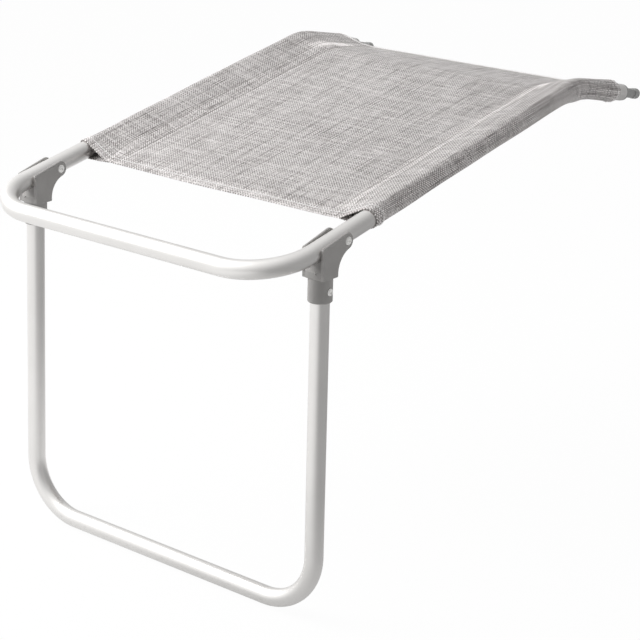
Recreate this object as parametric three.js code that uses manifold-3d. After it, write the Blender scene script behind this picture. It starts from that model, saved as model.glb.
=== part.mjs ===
// Leg rest that clips to a folding camping chair.
// A bent aluminium tube frame carries a woven sling. One folding leg stands under its foot end, and the
// plug pins at its other end go into the chair. Millimetres: +Y points to the chair, +Z up, +X across.
// The origin is midway between the frame's two tube ends, at the chair.

import * as THREE from 'three';
import { mergeVertices } from 'three/addons/utils/BufferGeometryUtils.js';
import Module from 'manifold-3d';

const wasm = await Module();
wasm.setup();

// Tube stock and fits
const tubeR = 11;
const tubeWall = 1.2;
const seatGap = 0.3;
const cutOverrun = 4;

// Main frame
const railSpacing = 445;
const frontCornerR = 72;
const railLength = 586;
const tailBendR = 100;
const tailLength = 106.5;
const railPitch = THREE.MathUtils.degToRad(8.57);
const tailBend = THREE.MathUtils.degToRad(22.4);

// Folding leg
const legSetback = 85.5;
const legDrop = 439.3;
const legCornerR = 70.5;
const legLean = THREE.MathUtils.degToRad(-3.07);
const legSplay = THREE.MathUtils.degToRad(0.81);

// Hinge bracket
const pivotSetback = 115;
const earThickness = 3.6;
const earClearance = 0.4;
const earEndR = 9.4;
const earNoseReach = 14.8;
const earNoseHeight = 6.8;
const earFootReach = 13;
const earFootHeight = 4;
const earWaistR = 26;
const earCornerR = 1.5;
const socketWall = 2.7;
const socketStep = 1;
const socketDrop = 60;
const socketRim = 1.2;
const legSeatDrop = 25;
const coreTopDrop = 2;
const webLedgeDrop = 23.5;
const webTopReach = 10.5;
const nubR = 1.1;
const nubDrop = 25;
const nubOffset = 4.2;

// Rivets
const pivotShankR = 3;
const pivotHeadR = 5;
const pivotHeadHeight = 2.2;
const pivotSpotDepth = 0.5;
const pivotSpotMargin = 1.3;
const socketRivetDrop = 46.6;
const socketShankR = 2.2;
const socketHeadR = 4.4;
const socketHeadHeight = 1.8;
const socketSpotDepth = 0.6;
const rivetEyeR = 1.4;
const rivetEyeDepth = 1;
const rivetEdgeHeight = 0.5;

// End plug
const plugShankLength = 28;
const plugShankChamfer = 1.2;
const plugCollarR = 10.7;
const plugCollarLength = 4.7;
const plugPinR = 6.3;
const plugPinLength = 21;
const plugGrooveR = 5.4;
const plugGrooveLength = 7;
const plugHeadR = 7;
const plugHeadLength = 11.5;
const plugHeadChamfer = 1.5;

// Sling cloth
const clothThickness = 1;
const clothSlack = 0.4;
const clothSetback = 166.5;
const bareTail = 16;
const hemWidth = 14;
const seamInset = 38.5;
const seamDip = 2;
const bandWidth = 18;
const bandDip = 3.5;
const panelSag = 1;
const tailRise = 8;
const tailFullness = 4;
const mouthLength = 14;

// Facets and where the rounded forms turn
const tubeSides = 20;
const pinSides = 20;
const cornerSteps = 9;
const bendSteps = 5;
const earArcSteps = 5;
const tailSteps = 4;
const mouthSteps = 3;
const bandSteps = 1;
const slopeSteps = 3;
const wrapSteps = 14;
const panelSteps = 8;
const domeShares = [[0.78, 0.72], [0.5, 1]];
const mouthFullnessShare = 0.25;
const tailTautShare = 0.7;

// Sizes that follow
const railX = railSpacing / 2;
const boreR = tubeR - tubeWall;
const looseR = tubeR + seatGap;
const earInner = tubeR + earClearance;
const earOuter = earInner + earThickness;
const socketR = looseR + socketWall;
const coreR = socketR - socketStep;
const tailStart = railLength + tailBendR * tailBend;
const tailEnd = tailStart + tailLength;
const clothEnd = tailEnd - bareTail;
const clothR = tubeR + clothSlack + clothThickness / 2;
const layerPitch = clothThickness + seatGap;
const panelHalf = railX - seamInset - bandWidth - seatGap;
const legToRail = railPitch - legLean;
const pivotY = (pivotSetback - legSetback) * Math.cos(legToRail);
const pivotZ = (pivotSetback - legSetback) * Math.sin(legToRail);
const waistY = earFootReach + earWaistR;
const waistZ = pivotZ - Math.sqrt((earWaistR + earEndR) ** 2 - (waistY - pivotY) ** 2);
const earDrop = earFootHeight - waistZ;

const finish = (name, color, roughness, metalness) =>
  new THREE.MeshStandardMaterial({ name, color, roughness, metalness });
const aluminium = finish('aluminium', 0xd2d2d0, 0.35, 0.9);
const rivetSteel = finish('rivet_steel', 0xe2e2e0, 0.25, 1);
const bracketPlastic = finish('bracket_plastic', 0x7e7c7a, 0.55, 0);
const plugPlastic = finish('plug_plastic', 0x6f706e, 0.5, 0);
const meshCloth = finish('mesh_cloth', 0xc6c1be, 0.85, 0);

const vec = (x, y, z) => new THREE.Vector3(x, y, z);

// A solid for joining and cutting, from a closed geometry.
function solidOf(geometry) {
  const bare = geometry.clone();
  bare.deleteAttribute('normal');
  bare.deleteAttribute('uv');
  const merged = mergeVertices(bare);
  const triangles = [];
  for (let i = 0; i < merged.index.count; i += 3) {
    const [a, b, c] = [0, 1, 2].map((k) => merged.index.getX(i + k));
    if (a !== b && b !== c && c !== a) triangles.push(a, b, c);
  }
  return new wasm.Manifold(new wasm.Mesh({
    numProp: 3,
    vertProperties: new Float32Array(merged.attributes.position.array),
    triVerts: new Uint32Array(triangles),
  }));
}

function geometryOf(solid) {
  const mesh = solid.getMesh();
  const geometry = new THREE.BufferGeometry();
  geometry.setAttribute('position', new THREE.BufferAttribute(mesh.vertProperties, 3));
  geometry.setIndex(new THREE.BufferAttribute(mesh.triVerts, 1));
  return geometry;
}

// A round post between two points, for joining or cutting.
function rod(from, to, radius) {
  const span = to.clone().sub(from);
  const geometry = new THREE.CylinderGeometry(radius, radius, span.length(), pinSides);
  const turn = new THREE.Quaternion().setFromUnitVectors(vec(0, 1, 0), span.normalize());
  const middle = from.clone().add(to).multiplyScalar(1 / 2);
  return solidOf(geometry.applyQuaternion(turn).translate(middle.x, middle.y, middle.z));
}

// A piece turned about Z. Its points are [radius, height], from the axis at the bottom to the axis on top.
function turned(points) {
  const profile = points.map(([radius, height]) => new THREE.Vector2(radius, height));
  return new THREE.LatheGeometry(profile, pinSides).rotateX(Math.PI / 2);
}

// A path through given stations, taken as evenly spread however far apart they lie.
class StationPath extends THREE.Curve {
  constructor(stations) {
    super();
    this.stations = stations;
  }

  between(u, key, target) {
    const place = u * (this.stations.length - 1);
    const low = Math.min(Math.floor(place), this.stations.length - 2);
    return target.lerpVectors(this.stations[low][key], this.stations[low + 1][key], place - low);
  }

  getPointAt(u, target = new THREE.Vector3()) {
    return this.between(u, 'point', target);
  }

  getTangentAt(u, target = new THREE.Vector3()) {
    return this.between(u, 'tangent', target).normalize();
  }
}

// The stations of a tube with straight runs between its corners and a round bend at each inner one.
function bentStations(corners, bends) {
  const heading = (k) => corners[k + 1].clone().sub(corners[k]).normalize();
  const stations = [{ point: corners[0], tangent: heading(0) }];
  bends.forEach(({ radius, steps }, k) => {
    const from = heading(k);
    const to = heading(k + 1);
    const turn = from.angleTo(to);
    const axis = from.clone().cross(to).normalize();
    const inward = axis.clone().cross(from);
    const centre = corners[k + 1].clone()
      .addScaledVector(from, -radius * Math.tan(turn / 2))
      .addScaledVector(inward, radius);
    for (let i = 0; i <= steps; i += 1) {
      const angle = (turn * i) / steps;
      const arm = inward.clone().multiplyScalar(-radius).applyAxisAngle(axis, angle);
      stations.push({
        point: centre.clone().add(arm),
        tangent: from.clone().applyAxisAngle(axis, angle),
      });
    }
  });
  stations.push({ point: corners[corners.length - 1], tangent: heading(corners.length - 2) });
  return stations;
}

function bentTube(corners, bends) {
  const stations = bentStations(corners, bends);
  const ring = new THREE.Shape().absarc(0, 0, tubeR, 0, 2 * Math.PI, false);
  ring.holes.push(new THREE.Path().absarc(0, 0, boreR, 0, 2 * Math.PI, true));
  return solidOf(new THREE.ExtrudeGeometry(ring, {
    steps: stations.length - 1,
    extrudePath: new StationPath(stations),
    curveSegments: tubeSides / 2,
    bevelEnabled: false,
  }));
}

// Frame space: y along the rails from the front bar's axis, z square to them.
// This gives a point over the rails at a distance along them, tail included.
function overRail(x, along, height) {
  const turn = THREE.MathUtils.clamp((along - railLength) / tailBendR, 0, tailBend);
  const straight = Math.min(along, railLength);
  const tail = Math.max(along - tailStart, 0);
  const arm = tailBendR + height;
  return vec(
    x,
    straight + arm * Math.sin(turn) + tail * Math.cos(turn),
    arm * Math.cos(turn) - tailBendR - tail * Math.sin(turn),
  );
}

function frameTube() {
  const bendY = railLength + tailBendR * Math.tan(tailBend / 2);
  const corners = [
    overRail(-railX, tailEnd, 0), vec(-railX, bendY, 0), vec(-railX, 0, 0),
    vec(railX, 0, 0), vec(railX, bendY, 0), overRail(railX, tailEnd, 0),
  ];
  const front = { radius: frontCornerR, steps: cornerSteps };
  const rear = { radius: tailBendR, steps: bendSteps };
  const reach = railX + tubeR + cutOverrun;
  const hole = rod(vec(-reach, pivotSetback, 0), vec(reach, pivotSetback, 0), pivotShankR + seatGap);
  return geometryOf(bentTube(corners, [rear, front, front, rear]).subtract(hole));
}

// Leg space: z up the leg from where its axis crosses the rail's, y towards the chair.
const splayed = (drop) => drop * Math.tan(legSplay);

function legTube() {
  const top = legSeatDrop + seatGap;
  const topX = railX + splayed(top);
  const footX = railX + splayed(legDrop);
  const corners = [
    vec(-topX, 0, -top), vec(-footX, 0, -legDrop), vec(footX, 0, -legDrop), vec(topX, 0, -top),
  ];
  const foot = { radius: legCornerR, steps: cornerSteps };
  const reach = footX + tubeR + cutOverrun;
  const hole = rod(
    vec(-reach, 0, -socketRivetDrop), vec(reach, 0, -socketRivetDrop), socketShankR + seatGap,
  );
  return geometryOf(bentTube(corners, [foot, foot]).subtract(hole));
}

// An ear's outline: a foot, a waist, a round end on the pivot, and a top edge that runs down to the nose.
function earShape() {
  const waistTurn = Math.atan2(pivotZ - waistZ, pivotY - waistY);
  const topTurn = legToRail + Math.PI / 2;
  const noseZ = (earNoseHeight - earNoseReach * Math.sin(legToRail)) / Math.cos(legToRail);
  const toeY = earFootReach - earCornerR;
  const soleZ = earCornerR - earDrop;
  const shape = new THREE.Shape();
  shape.moveTo(-toeY, -earDrop);
  shape.lineTo(toeY, -earDrop);
  shape.absarc(toeY, soleZ, earCornerR, -Math.PI / 2, 0, false);
  shape.absarc(waistY, waistZ, earWaistR, Math.PI, waistTurn, true);
  shape.absarc(pivotY, pivotZ, earEndR, waistTurn - Math.PI, topTurn, false);
  shape.lineTo(earCornerR - earNoseReach, noseZ + earCornerR * Math.tan(legToRail));
  shape.lineTo(-earNoseReach, noseZ - earCornerR);
  shape.lineTo(-earFootReach, soleZ);
  shape.lineTo(-toeY, -earDrop);
  return shape;
}

// A plate from a shape in Y and Z, between two places on X.
function plate(shape, lowX, highX) {
  const geometry = new THREE.ExtrudeGeometry(shape, {
    depth: highX - lowX,
    curveSegments: earArcSteps,
    bevelEnabled: false,
  });
  geometry.applyMatrix4(new THREE.Matrix4().makeBasis(vec(0, 1, 0), vec(0, 0, 1), vec(1, 0, 0)));
  return solidOf(geometry.translate(lowX, 0, 0));
}

const outline = (points) => new THREE.Shape(points.map(([y, z]) => new THREE.Vector2(y, z)));

// The web that closes the front between the ears.
function web() {
  const shape = outline([
    [earCornerR - earFootReach, -earDrop], [0, -earDrop], [0, -coreTopDrop],
    [-earFootReach, -coreTopDrop], [-earFootReach, earCornerR - earDrop],
  ]);
  return plate(shape, -earInner - seatGap, earInner + seatGap);
}

// What is cut from the stem's front above a ledge, so that it stands back under the rail.
function relief() {
  const front = -earFootReach - cutOverrun;
  const shape = outline([
    [front, -webLedgeDrop], [-earFootReach, -webLedgeDrop], [-webTopReach, -looseR],
    [-webTopReach, 0], [front, 0],
  ]);
  return plate(shape, -socketR, socketR);
}

// The stem under the rail: a stepped socket with a chamfered rim, and a small moulding nub on its web.
function bracketStem(side) {
  const down = (drop) => vec(side * splayed(drop), 0, -drop);
  const socket = solidOf(turned([
    [0, -socketDrop], [socketR - socketRim, -socketDrop], [socketR, socketRim - socketDrop],
    [socketR, -earDrop], [0, -earDrop],
  ]).rotateY(-side * legSplay));
  const core = rod(down(coreTopDrop), down(earDrop + socketRim), coreR);
  const nub = solidOf(new THREE.SphereGeometry(nubR, pinSides, pinSides / 2).translate(
    side * nubOffset, -earFootReach, -nubDrop,
  ));
  return core.add(web()).subtract(relief()).add(socket).add(nub);
}

// The bracket about its own rail. side is 1 or -1, for the end of the X axis that it stands at.
function bracket(side) {
  const along = vec(0, Math.cos(legToRail), Math.sin(legToRail)).multiplyScalar(pivotSetback);
  const saddle = rod(along.clone().negate(), along, looseR);
  const mouth = socketDrop + cutOverrun;
  const bore = rod(
    vec(side * splayed(legSeatDrop), 0, -legSeatDrop), vec(side * splayed(mouth), 0, -mouth), looseR,
  );
  let solid = bracketStem(side)
    .add(plate(earShape(), earInner, earOuter))
    .add(plate(earShape(), -earOuter, -earInner))
    .subtract(saddle)
    .subtract(bore);
  const drillings = [
    { y: pivotY, z: pivotZ, shank: pivotShankR, middle: 0,
      head: pivotHeadR + pivotSpotMargin, seat: earOuter - pivotSpotDepth },
    { y: 0, z: -socketRivetDrop, shank: socketShankR, middle: side * splayed(socketRivetDrop),
      head: socketHeadR + seatGap, seat: socketR - socketSpotDepth },
  ];
  drillings.forEach(({ y, z, shank, middle, head, seat }) => {
    const reach = seat + cutOverrun;
    const drill = (from, to, radius) => {
      solid = solid.subtract(rod(vec(middle + from, y, z), vec(middle + to, y, z), radius));
    };
    drill(-reach, reach, shank + seatGap);
    drill(seat, reach, head);
    drill(-reach, -seat, head);
  });
  return geometryOf(solid);
}

// A tubular rivet along Z through two seats, each as far from its middle.
function rivet(shankR, headR, headHeight, seat) {
  const dome = (end) => domeShares.map(([r, h]) => [headR * r, end * (seat + headHeight * h)]);
  const eye = (end) => [
    [rivetEyeR, end * (seat + headHeight)], [rivetEyeR, end * (seat + headHeight - rivetEyeDepth)],
    [0, end * (seat + headHeight - rivetEyeDepth)],
  ];
  return geometryOf(solidOf(turned([
    ...eye(-1).reverse(), ...dome(-1).reverse(),
    [headR, -seat - rivetEdgeHeight], [headR, -seat], [shankR, -seat],
    [shankR, seat], [headR, seat], [headR, seat + rivetEdgeHeight],
    ...dome(1), ...eye(1),
  ])));
}

// An end plug along Z from its tube's end face: shank inside, then collar, pin, groove and head.
function endPlug() {
  const shankR = boreR - seatGap;
  const collarEnd = seatGap + plugCollarLength;
  const pinEnd = collarEnd + plugPinLength;
  const grooveEnd = pinEnd + plugGrooveLength;
  const tip = grooveEnd + plugHeadLength;
  return geometryOf(solidOf(turned([
    [0, -plugShankLength], [shankR - plugShankChamfer, -plugShankLength],
    [shankR, plugShankChamfer - plugShankLength], [shankR, seatGap], [plugCollarR, seatGap],
    [plugCollarR, collarEnd], [plugPinR, collarEnd], [plugPinR, pinEnd],
    [plugGrooveR, pinEnd], [plugGrooveR, grooveEnd], [plugHeadR, grooveEnd],
    [plugHeadR, tip - plugHeadChamfer], [plugHeadR - plugHeadChamfer, tip], [0, tip],
  ])));
}

// The cloth follows the rails. These are the distances along them where its sections stand.
function clothRuns() {
  const spread = (from, to, steps) =>
    Array.from({ length: steps }, (_, i) => THREE.MathUtils.lerp(from, to, i / steps));
  return [
    clothSetback, clothSetback + hemWidth,
    ...spread(railLength, tailStart, bendSteps),
    ...spread(tailStart, clothEnd - mouthLength, tailSteps),
    ...spread(clothEnd - mouthLength, clothEnd, mouthSteps), clothEnd,
  ];
}

// The cloth is pulled straighter across the tails: its seams rise, and its bands and panel dip less.
const tautness = (along) => THREE.MathUtils.smoothstep(along, railLength, clothEnd);
const seamHeight = (along) => tailRise * tautness(along) - seamDip;
const dipped = (dip, along) => dip * (1 - tailTautShare * tautness(along));

// The sleeves lie close on the rails, widen along the tails, and are drawn in at their mouths.
function sleeveR(along) {
  const swell = THREE.MathUtils.clamp((along - railLength) / (clothEnd - railLength), 0, 1);
  const drawn = THREE.MathUtils.smoothstep(along, clothEnd - mouthLength, clothEnd);
  return clothR + tailFullness * swell * (1 - drawn * (1 - mouthFullnessShare));
}

// A sleeve's section as [inward, up] from the rail's axis: from the band over the rail, round its outer
// side, and back beneath to the band.
function sleeveLine(along) {
  const radius = sleeveR(along);
  const seam = seamHeight(along);
  const low = seam - layerPitch;
  const grip = (height) => Math.acos(radius / Math.hypot(seamInset, height));
  const first = Math.atan2(seam, seamInset) + grip(seam);
  const last = 2 * Math.PI + Math.atan2(low, seamInset) - grip(low);
  const onRail = (angle) => new THREE.Vector2(radius * Math.cos(angle), radius * Math.sin(angle));
  const line = [];
  const run = (from, to, steps) => {
    for (let i = 0; i < steps; i += 1) line.push(from.clone().lerp(to, i / steps));
  };
  const seamPoint = new THREE.Vector2(seamInset, seam);
  const lowPoint = new THREE.Vector2(seamInset, low);
  const dip = dipped(bandDip, along);
  const bandEnd = new THREE.Vector2(seamInset + bandWidth, seam - dip);
  const lowEnd = new THREE.Vector2(seamInset + bandWidth, low - dip);
  run(bandEnd, seamPoint, bandSteps);
  run(seamPoint, onRail(first), slopeSteps);
  for (let i = 0; i < wrapSteps; i += 1) line.push(onRail(THREE.MathUtils.lerp(first, last, i / wrapSteps)));
  run(onRail(last), lowPoint, slopeSteps);
  run(lowPoint, lowEnd, bandSteps);
  line.push(lowEnd);
  return line;
}

// The point of a section at one step, lifted square to it.
function liftedPoint(line, step, lift) {
  const before = line[Math.max(step - 1, 0)];
  const after = line[Math.min(step + 1, line.length - 1)];
  const way = after.clone().sub(before).normalize();
  return line[step].clone().add(new THREE.Vector2(way.y, -way.x).multiplyScalar(lift));
}

// A strip of cloth. place gives the point for a step across, a distance along the rails and a lift.
function clothStrip(steps, runs, place) {
  const geometry = new THREE.BoxGeometry(1, 1, 1, steps, runs.length - 1, 1);
  const position = geometry.attributes.position;
  for (let i = 0; i < position.count; i += 1) {
    const step = Math.round((position.getX(i) + 1 / 2) * steps);
    const run = Math.round((position.getY(i) + 1 / 2) * (runs.length - 1));
    const point = place(step, runs[run], position.getZ(i) * clothThickness);
    position.setXYZ(i, point.x, point.y, point.z);
  }
  return geometryOf(solidOf(geometry));
}

function sleeve(side) {
  const lines = new Map(clothRuns().map((along) => [along, sleeveLine(along)]));
  const steps = lines.get(clothEnd).length - 1;
  return clothStrip(steps, clothRuns(), (step, along, lift) => {
    const { x: inward, y: up } = liftedPoint(lines.get(along), side > 0 ? step : steps - step, lift);
    return overRail(side * (railX - inward), along, up);
  });
}

// The panel between the sleeves, or a hem folded back under it.
function panelStrip(runs, drop) {
  return clothStrip(panelSteps, runs, (step, along, lift) => {
    const share = (2 * step) / panelSteps - 1;
    const dip = dipped(bandDip + panelSag * (1 - share * share), along);
    return overRail(panelHalf * share, along, seamHeight(along) - dip - drop + lift);
  });
}

function place(parent, name, geometry, material) {
  const mesh = new THREE.Mesh(geometry, material);
  mesh.name = name;
  parent.add(mesh);
  return mesh;
}

const sides = [['left', -1], ['right', 1]];

function addFrame(root) {
  const frame = new THREE.Group();
  place(frame, 'frame_tube', frameTube(), aluminium);
  sides.forEach(([word, side]) => {
    const plug = place(frame, `end_plug_${word}`, endPlug(), plugPlastic);
    plug.position.copy(overRail(side * railX, tailEnd, 0));
    plug.rotation.x = -(Math.PI / 2 + tailBend);
    const seat = earOuter - pivotSpotDepth + seatGap;
    const pin = place(
      frame, `pivot_rivet_${word}`, rivet(pivotShankR, pivotHeadR, pivotHeadHeight, seat), rivetSteel,
    );
    pin.position.set(side * railX, pivotSetback, 0);
    pin.rotation.y = (side * Math.PI) / 2;
  });
  root.add(frame);
  return frame;
}

function addSling(frame) {
  place(frame, 'sling_panel', panelStrip(clothRuns(), 0), meshCloth);
  sides.forEach(([word, side]) => place(frame, `sleeve_${word}`, sleeve(side), meshCloth));
  const hem = (from) => panelStrip([from, from + hemWidth], layerPitch);
  place(frame, 'near_hem', hem(clothSetback), meshCloth);
  place(frame, 'far_hem', hem(clothEnd - hemWidth), meshCloth);
}

function addLeg(frame) {
  const leg = new THREE.Group();
  leg.position.y = legSetback;
  leg.rotation.x = -legToRail;
  place(leg, 'leg_tube', legTube(), aluminium);
  sides.forEach(([word, side]) => {
    place(leg, `bracket_${word}`, bracket(side), bracketPlastic).position.x = side * railX;
    const seat = socketR - socketSpotDepth + seatGap;
    const pin = place(
      leg, `socket_rivet_${word}`, rivet(socketShankR, socketHeadR, socketHeadHeight, seat), rivetSteel,
    );
    pin.position.set(side * (railX + splayed(socketRivetDrop)), 0, -socketRivetDrop);
    pin.rotation.y = (side * Math.PI) / 2;
  });
  frame.add(leg);
}

const legRest = new THREE.Group();
const frame = addFrame(legRest);
addSling(frame);
addLeg(frame);
frame.rotation.x = railPitch;
frame.position.copy(overRail(0, tailEnd, 0).applyEuler(frame.rotation).negate());

export default legRest;
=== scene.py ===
"""Leg rest that clips to a folding camping chair.

A bent aluminium tube frame carries a woven mesh sling, a folding tube leg stands under its foot end in
moulded hinge brackets, and the plug pins at its other end go into the chair. Everything is in metres,
+Y towards the chair, +Z up and +X across, with the origin midway between the frame's two tube ends.
"""

from __future__ import annotations

import logging
import math
from dataclasses import dataclass, field
from enum import Enum

import bmesh
import bpy
import numpy as np
from bpy.types import Material, Mesh, Object, World
from mathutils import Matrix, Vector
from mathutils.geometry import delaunay_2d_cdt


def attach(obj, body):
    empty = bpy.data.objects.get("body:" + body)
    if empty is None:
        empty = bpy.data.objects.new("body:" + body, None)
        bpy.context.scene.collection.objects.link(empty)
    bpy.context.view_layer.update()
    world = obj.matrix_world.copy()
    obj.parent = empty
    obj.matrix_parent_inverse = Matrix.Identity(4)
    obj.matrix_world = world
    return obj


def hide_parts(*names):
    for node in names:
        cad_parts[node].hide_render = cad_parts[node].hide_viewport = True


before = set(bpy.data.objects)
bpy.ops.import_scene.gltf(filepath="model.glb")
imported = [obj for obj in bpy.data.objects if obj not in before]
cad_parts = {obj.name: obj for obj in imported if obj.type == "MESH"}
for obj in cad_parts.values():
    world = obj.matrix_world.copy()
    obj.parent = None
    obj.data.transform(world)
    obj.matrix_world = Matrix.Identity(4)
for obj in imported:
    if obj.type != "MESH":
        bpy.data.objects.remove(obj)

Array = np.ndarray
Socket = bpy.types.NodeSocket
Pair = tuple[float, float]
Triple = tuple[float, float, float]
Colour = tuple[float, float, float, float]
log = logging.getLogger("leg_rest")

MERGE_DISTANCE = 1e-7
TRIANGULATION_TOLERANCE = 1e-9
STATION_DECIMALS = 7
CREASE = 38.0
LIP_SHARE = 0.2
OUTER_SPANS = (0.02, 0.0022)
INNER_SPANS = (0.04, 0.006)
FULL_TURN = 2.0 * math.pi
UP = np.array([0.0, 0.0, 1.0])
WHITE = (1.0, 1.0, 1.0, 1.0)
THREAD_SIDES = 6
THREAD_SHARES = np.array([-1.0, -0.75, 0.0, 0.75, 1.0])
THREAD_HEIGHTS = np.array([-0.9, 0.35, 0.75, 0.35, -0.9])
THREAD_RADII = np.array([0.0, 0.95, 1.0, 0.95, 0.0])


class Side(Enum):
    """The half of the leg rest that a piece belongs to, as the sign of its X."""

    LEFT = -1
    RIGHT = 1

    @property
    def word(self) -> str:
        """The side's word in the names of pieces."""
        return self.name.lower()


class Slot(Enum):
    """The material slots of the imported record."""

    ALUMINIUM = "aluminium"
    BRACKET = "bracket_plastic"
    PLUG = "plug_plastic"
    RIVET = "rivet_steel"
    CLOTH = "mesh_cloth"


class Body(Enum):
    """The two bodies that the leg's hinge joins."""

    FRAME = "frame"
    LEG = "leg"


# ---------------------------------------------------------------- numbers to shapes


def smoothstep(value: Array, low: float, high: float) -> Array:
    """Goes from 0 at low to 1 at high as 3t^2 - 2t^3.

    Args:
        value: Where it is wanted.
        low: The value at which it starts to rise.
        high: The value at which it has risen.

    Returns:
        The shares, in the shape of value.
    """
    share = np.clip((np.asarray(value, float) - low) / (high - low), 0.0, 1.0)
    return share * share * (3.0 - 2.0 * share)


def unit(vectors: Array) -> Array:
    """Vectors along the last axis, brought to length one."""
    return vectors / np.maximum(np.linalg.norm(vectors, axis=-1, keepdims=True), 1e-12)


def walked(line: Array) -> Array:
    """The distances along a line from its first point to each of its points."""
    return np.concatenate([[0.0], np.cumsum(np.linalg.norm(np.diff(line, axis=0), axis=1))])


def meshed(*values: Array | float) -> Array:
    """Values broadcast against each other and set side by side along a new last axis."""
    return np.stack(np.broadcast_arrays(*values), axis=-1)


def read_along(at: Array, walk: Array, values: Array) -> Array:
    """The rows of values that stand at distances walk, read at other distances by straight interpolation."""
    return np.stack([np.interp(at, walk, values[:, k]) for k in range(values.shape[1])], axis=-1)


def circle(angle: Array) -> Array:
    """The points (cos a, sin a), along a new last axis."""
    return np.stack([np.cos(angle), np.sin(angle)], axis=-1)


def left_of(way: Array) -> Array:
    """Flat directions turned a quarter to the left, (-y, x)."""
    return np.stack([-way[..., 1], way[..., 0]], axis=-1)


def spokes(angle: Array, first: Array, second: Array) -> Array:
    """The directions first cos a + second sin a, with the angles along a new axis before the last."""
    return np.cos(angle)[:, None] * first[..., None, :] + np.sin(angle)[:, None] * second[..., None, :]


def quads(number: Array) -> Array:
    """The faces of grids of point numbers, (m, 4), which turn from columns to rows."""
    corners = [number[..., :-1, :-1], number[..., :-1, 1:], number[..., 1:, 1:], number[..., 1:, :-1]]
    return np.stack(corners, axis=-1).reshape(-1, 4)


def closed(ring: Array) -> Array:
    """A ring of points with its first point again at its end."""
    return np.concatenate([ring, ring[:1]])


def turn_about_x(points: Array, angle: float) -> Array:
    """Points turned about the X axis: y' = y cos a - z sin a and z' = y sin a + z cos a.

    Args:
        points: The points, (..., 3).
        angle: The angle a in radians.

    Returns:
        The turned points, in the shape of points.
    """
    cosine, sine = math.cos(angle), math.sin(angle)
    x, y, z = np.moveaxis(points, -1, 0)
    return np.stack([x, y * cosine - z * sine, y * sine + z * cosine], axis=-1)


def rounded(corners: list[Triple], steps: int = 4) -> Array:
    """A flat line through corners, each of them rounded by a quadratic arc.

    Args:
        corners: x, y and the length that the rounding takes off both legs of the corner.
        steps: Spans of each rounding.

    Returns:
        The line's points, (n, 2). A corner P with rounding c becomes
        (1-t)^2 A + 2t(1-t) P + t^2 B, where A and B lie c from P on its two legs.
    """
    places = np.array([c[:2] for c in corners], float)
    share = np.linspace(0.0, 1.0, steps + 1)[:, None]
    line: list[Array] = [places[:1]]
    for before, here, after, (_, _, cut) in zip(places, places[1:], places[2:], corners[1:-1]):
        if cut <= 0.0:
            line.append(here[None])
            continue
        start = here + cut * unit(before - here)
        end = here + cut * unit(after - here)
        line.append((1 - share) ** 2 * start + 2 * share * (1 - share) * here + share**2 * end)
    line.append(places[-1:])
    return np.concatenate(line)


@dataclass
class Patch:
    """A surface as points with the faces between them.

    Attributes:
        points: Its points, (n, 3).
        faces: Its faces by the numbers of their points, (m, 3) or (m, 4).
        uv: The points' places on the surface in metres, (n, 2).
        edge: How worn each point is, from 0 to 1, with a painted highlight on the bracket's edges, or on
            cloth how
        many layers past one it looks like, with a painted highlight beside the far seams, (n,).
    """

    points: Array
    faces: Array
    uv: Array
    edge: Array


def grid_patch(points: Array, uv: Array, edge: Array | None = None) -> Patch:
    """A patch over a grid of points.

    Args:
        points: The grid, (rows, columns, 3). A closed way has its first point again at its end.
        uv: The places on the surface, (rows, columns, 2).
        edge: The points' edge values, (rows, columns).

    Returns:
        The patch, whose faces turn from columns to rows.
    """
    rows, columns = points.shape[:2]
    faces = quads(np.arange(rows * columns).reshape(rows, columns))
    wear = np.zeros((rows, columns)) if edge is None else edge
    return Patch(points.reshape(-1, 3), faces, uv.reshape(-1, 2), wear.reshape(-1))


def filled_patch(loops: list[Array], place: Array) -> Patch:
    """A flat patch inside an outline and around holes, by constrained triangulation.

    Args:
        loops: The outline and then the holes, each as flat points (n, 2).
        place: A 3 by 3 array that takes (1, a, b) of a flat point to its place.

    Returns:
        The patch.
    """
    flat = np.concatenate(loops)
    starts = np.cumsum([0] + [len(loop) for loop in loops])
    spans = list(zip(starts, starts[1:]))
    edges = [(low + k, low + (k + 1) % (high - low)) for low, high in spans for k in range(high - low)]
    found = delaunay_2d_cdt([Vector(p) for p in flat], edges, [], 2, TRIANGULATION_TOLERANCE)
    verts = np.array([tuple(v) for v in found[0]], float)
    points = np.column_stack([np.ones(len(verts)), verts]) @ place
    return Patch(points, np.array(found[2], int), verts, np.zeros(len(verts)))


def turned_patch(profile: Array, centre: Array, axis: Array, sides: int = 48) -> Patch:
    """A surface of revolution.

    Args:
        profile: Radius and height of the turned line, (n, 2).
        centre: The point that height 0 stands at.
        axis: The direction in which height grows.
        sides: Spans around.

    Returns:
        The patch: P(i, a) = centre + h_i axis + r_i (u cos a + v sin a), with u and v square to the axis.
    """
    heading = unit(np.asarray(axis, float))
    across = unit(np.cross(heading, [0.31, 0.17, 0.94]))
    beside = np.cross(heading, across)
    angle = np.linspace(0.0, FULL_TURN, sides + 1)
    spoke = spokes(angle, across, beside)
    points = centre + profile[:, None, 1:] * heading + profile[:, None, :1] * spoke
    girth = angle * profile[:, 0].max()
    return grid_patch(points, meshed(girth, walked(profile)[:, None]))


@dataclass
class Run:
    """One straight or round stretch of a bent tube's axis."""

    start: float
    length: float
    origin: Array
    heading: Array
    inward: Array
    radius: float


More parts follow.
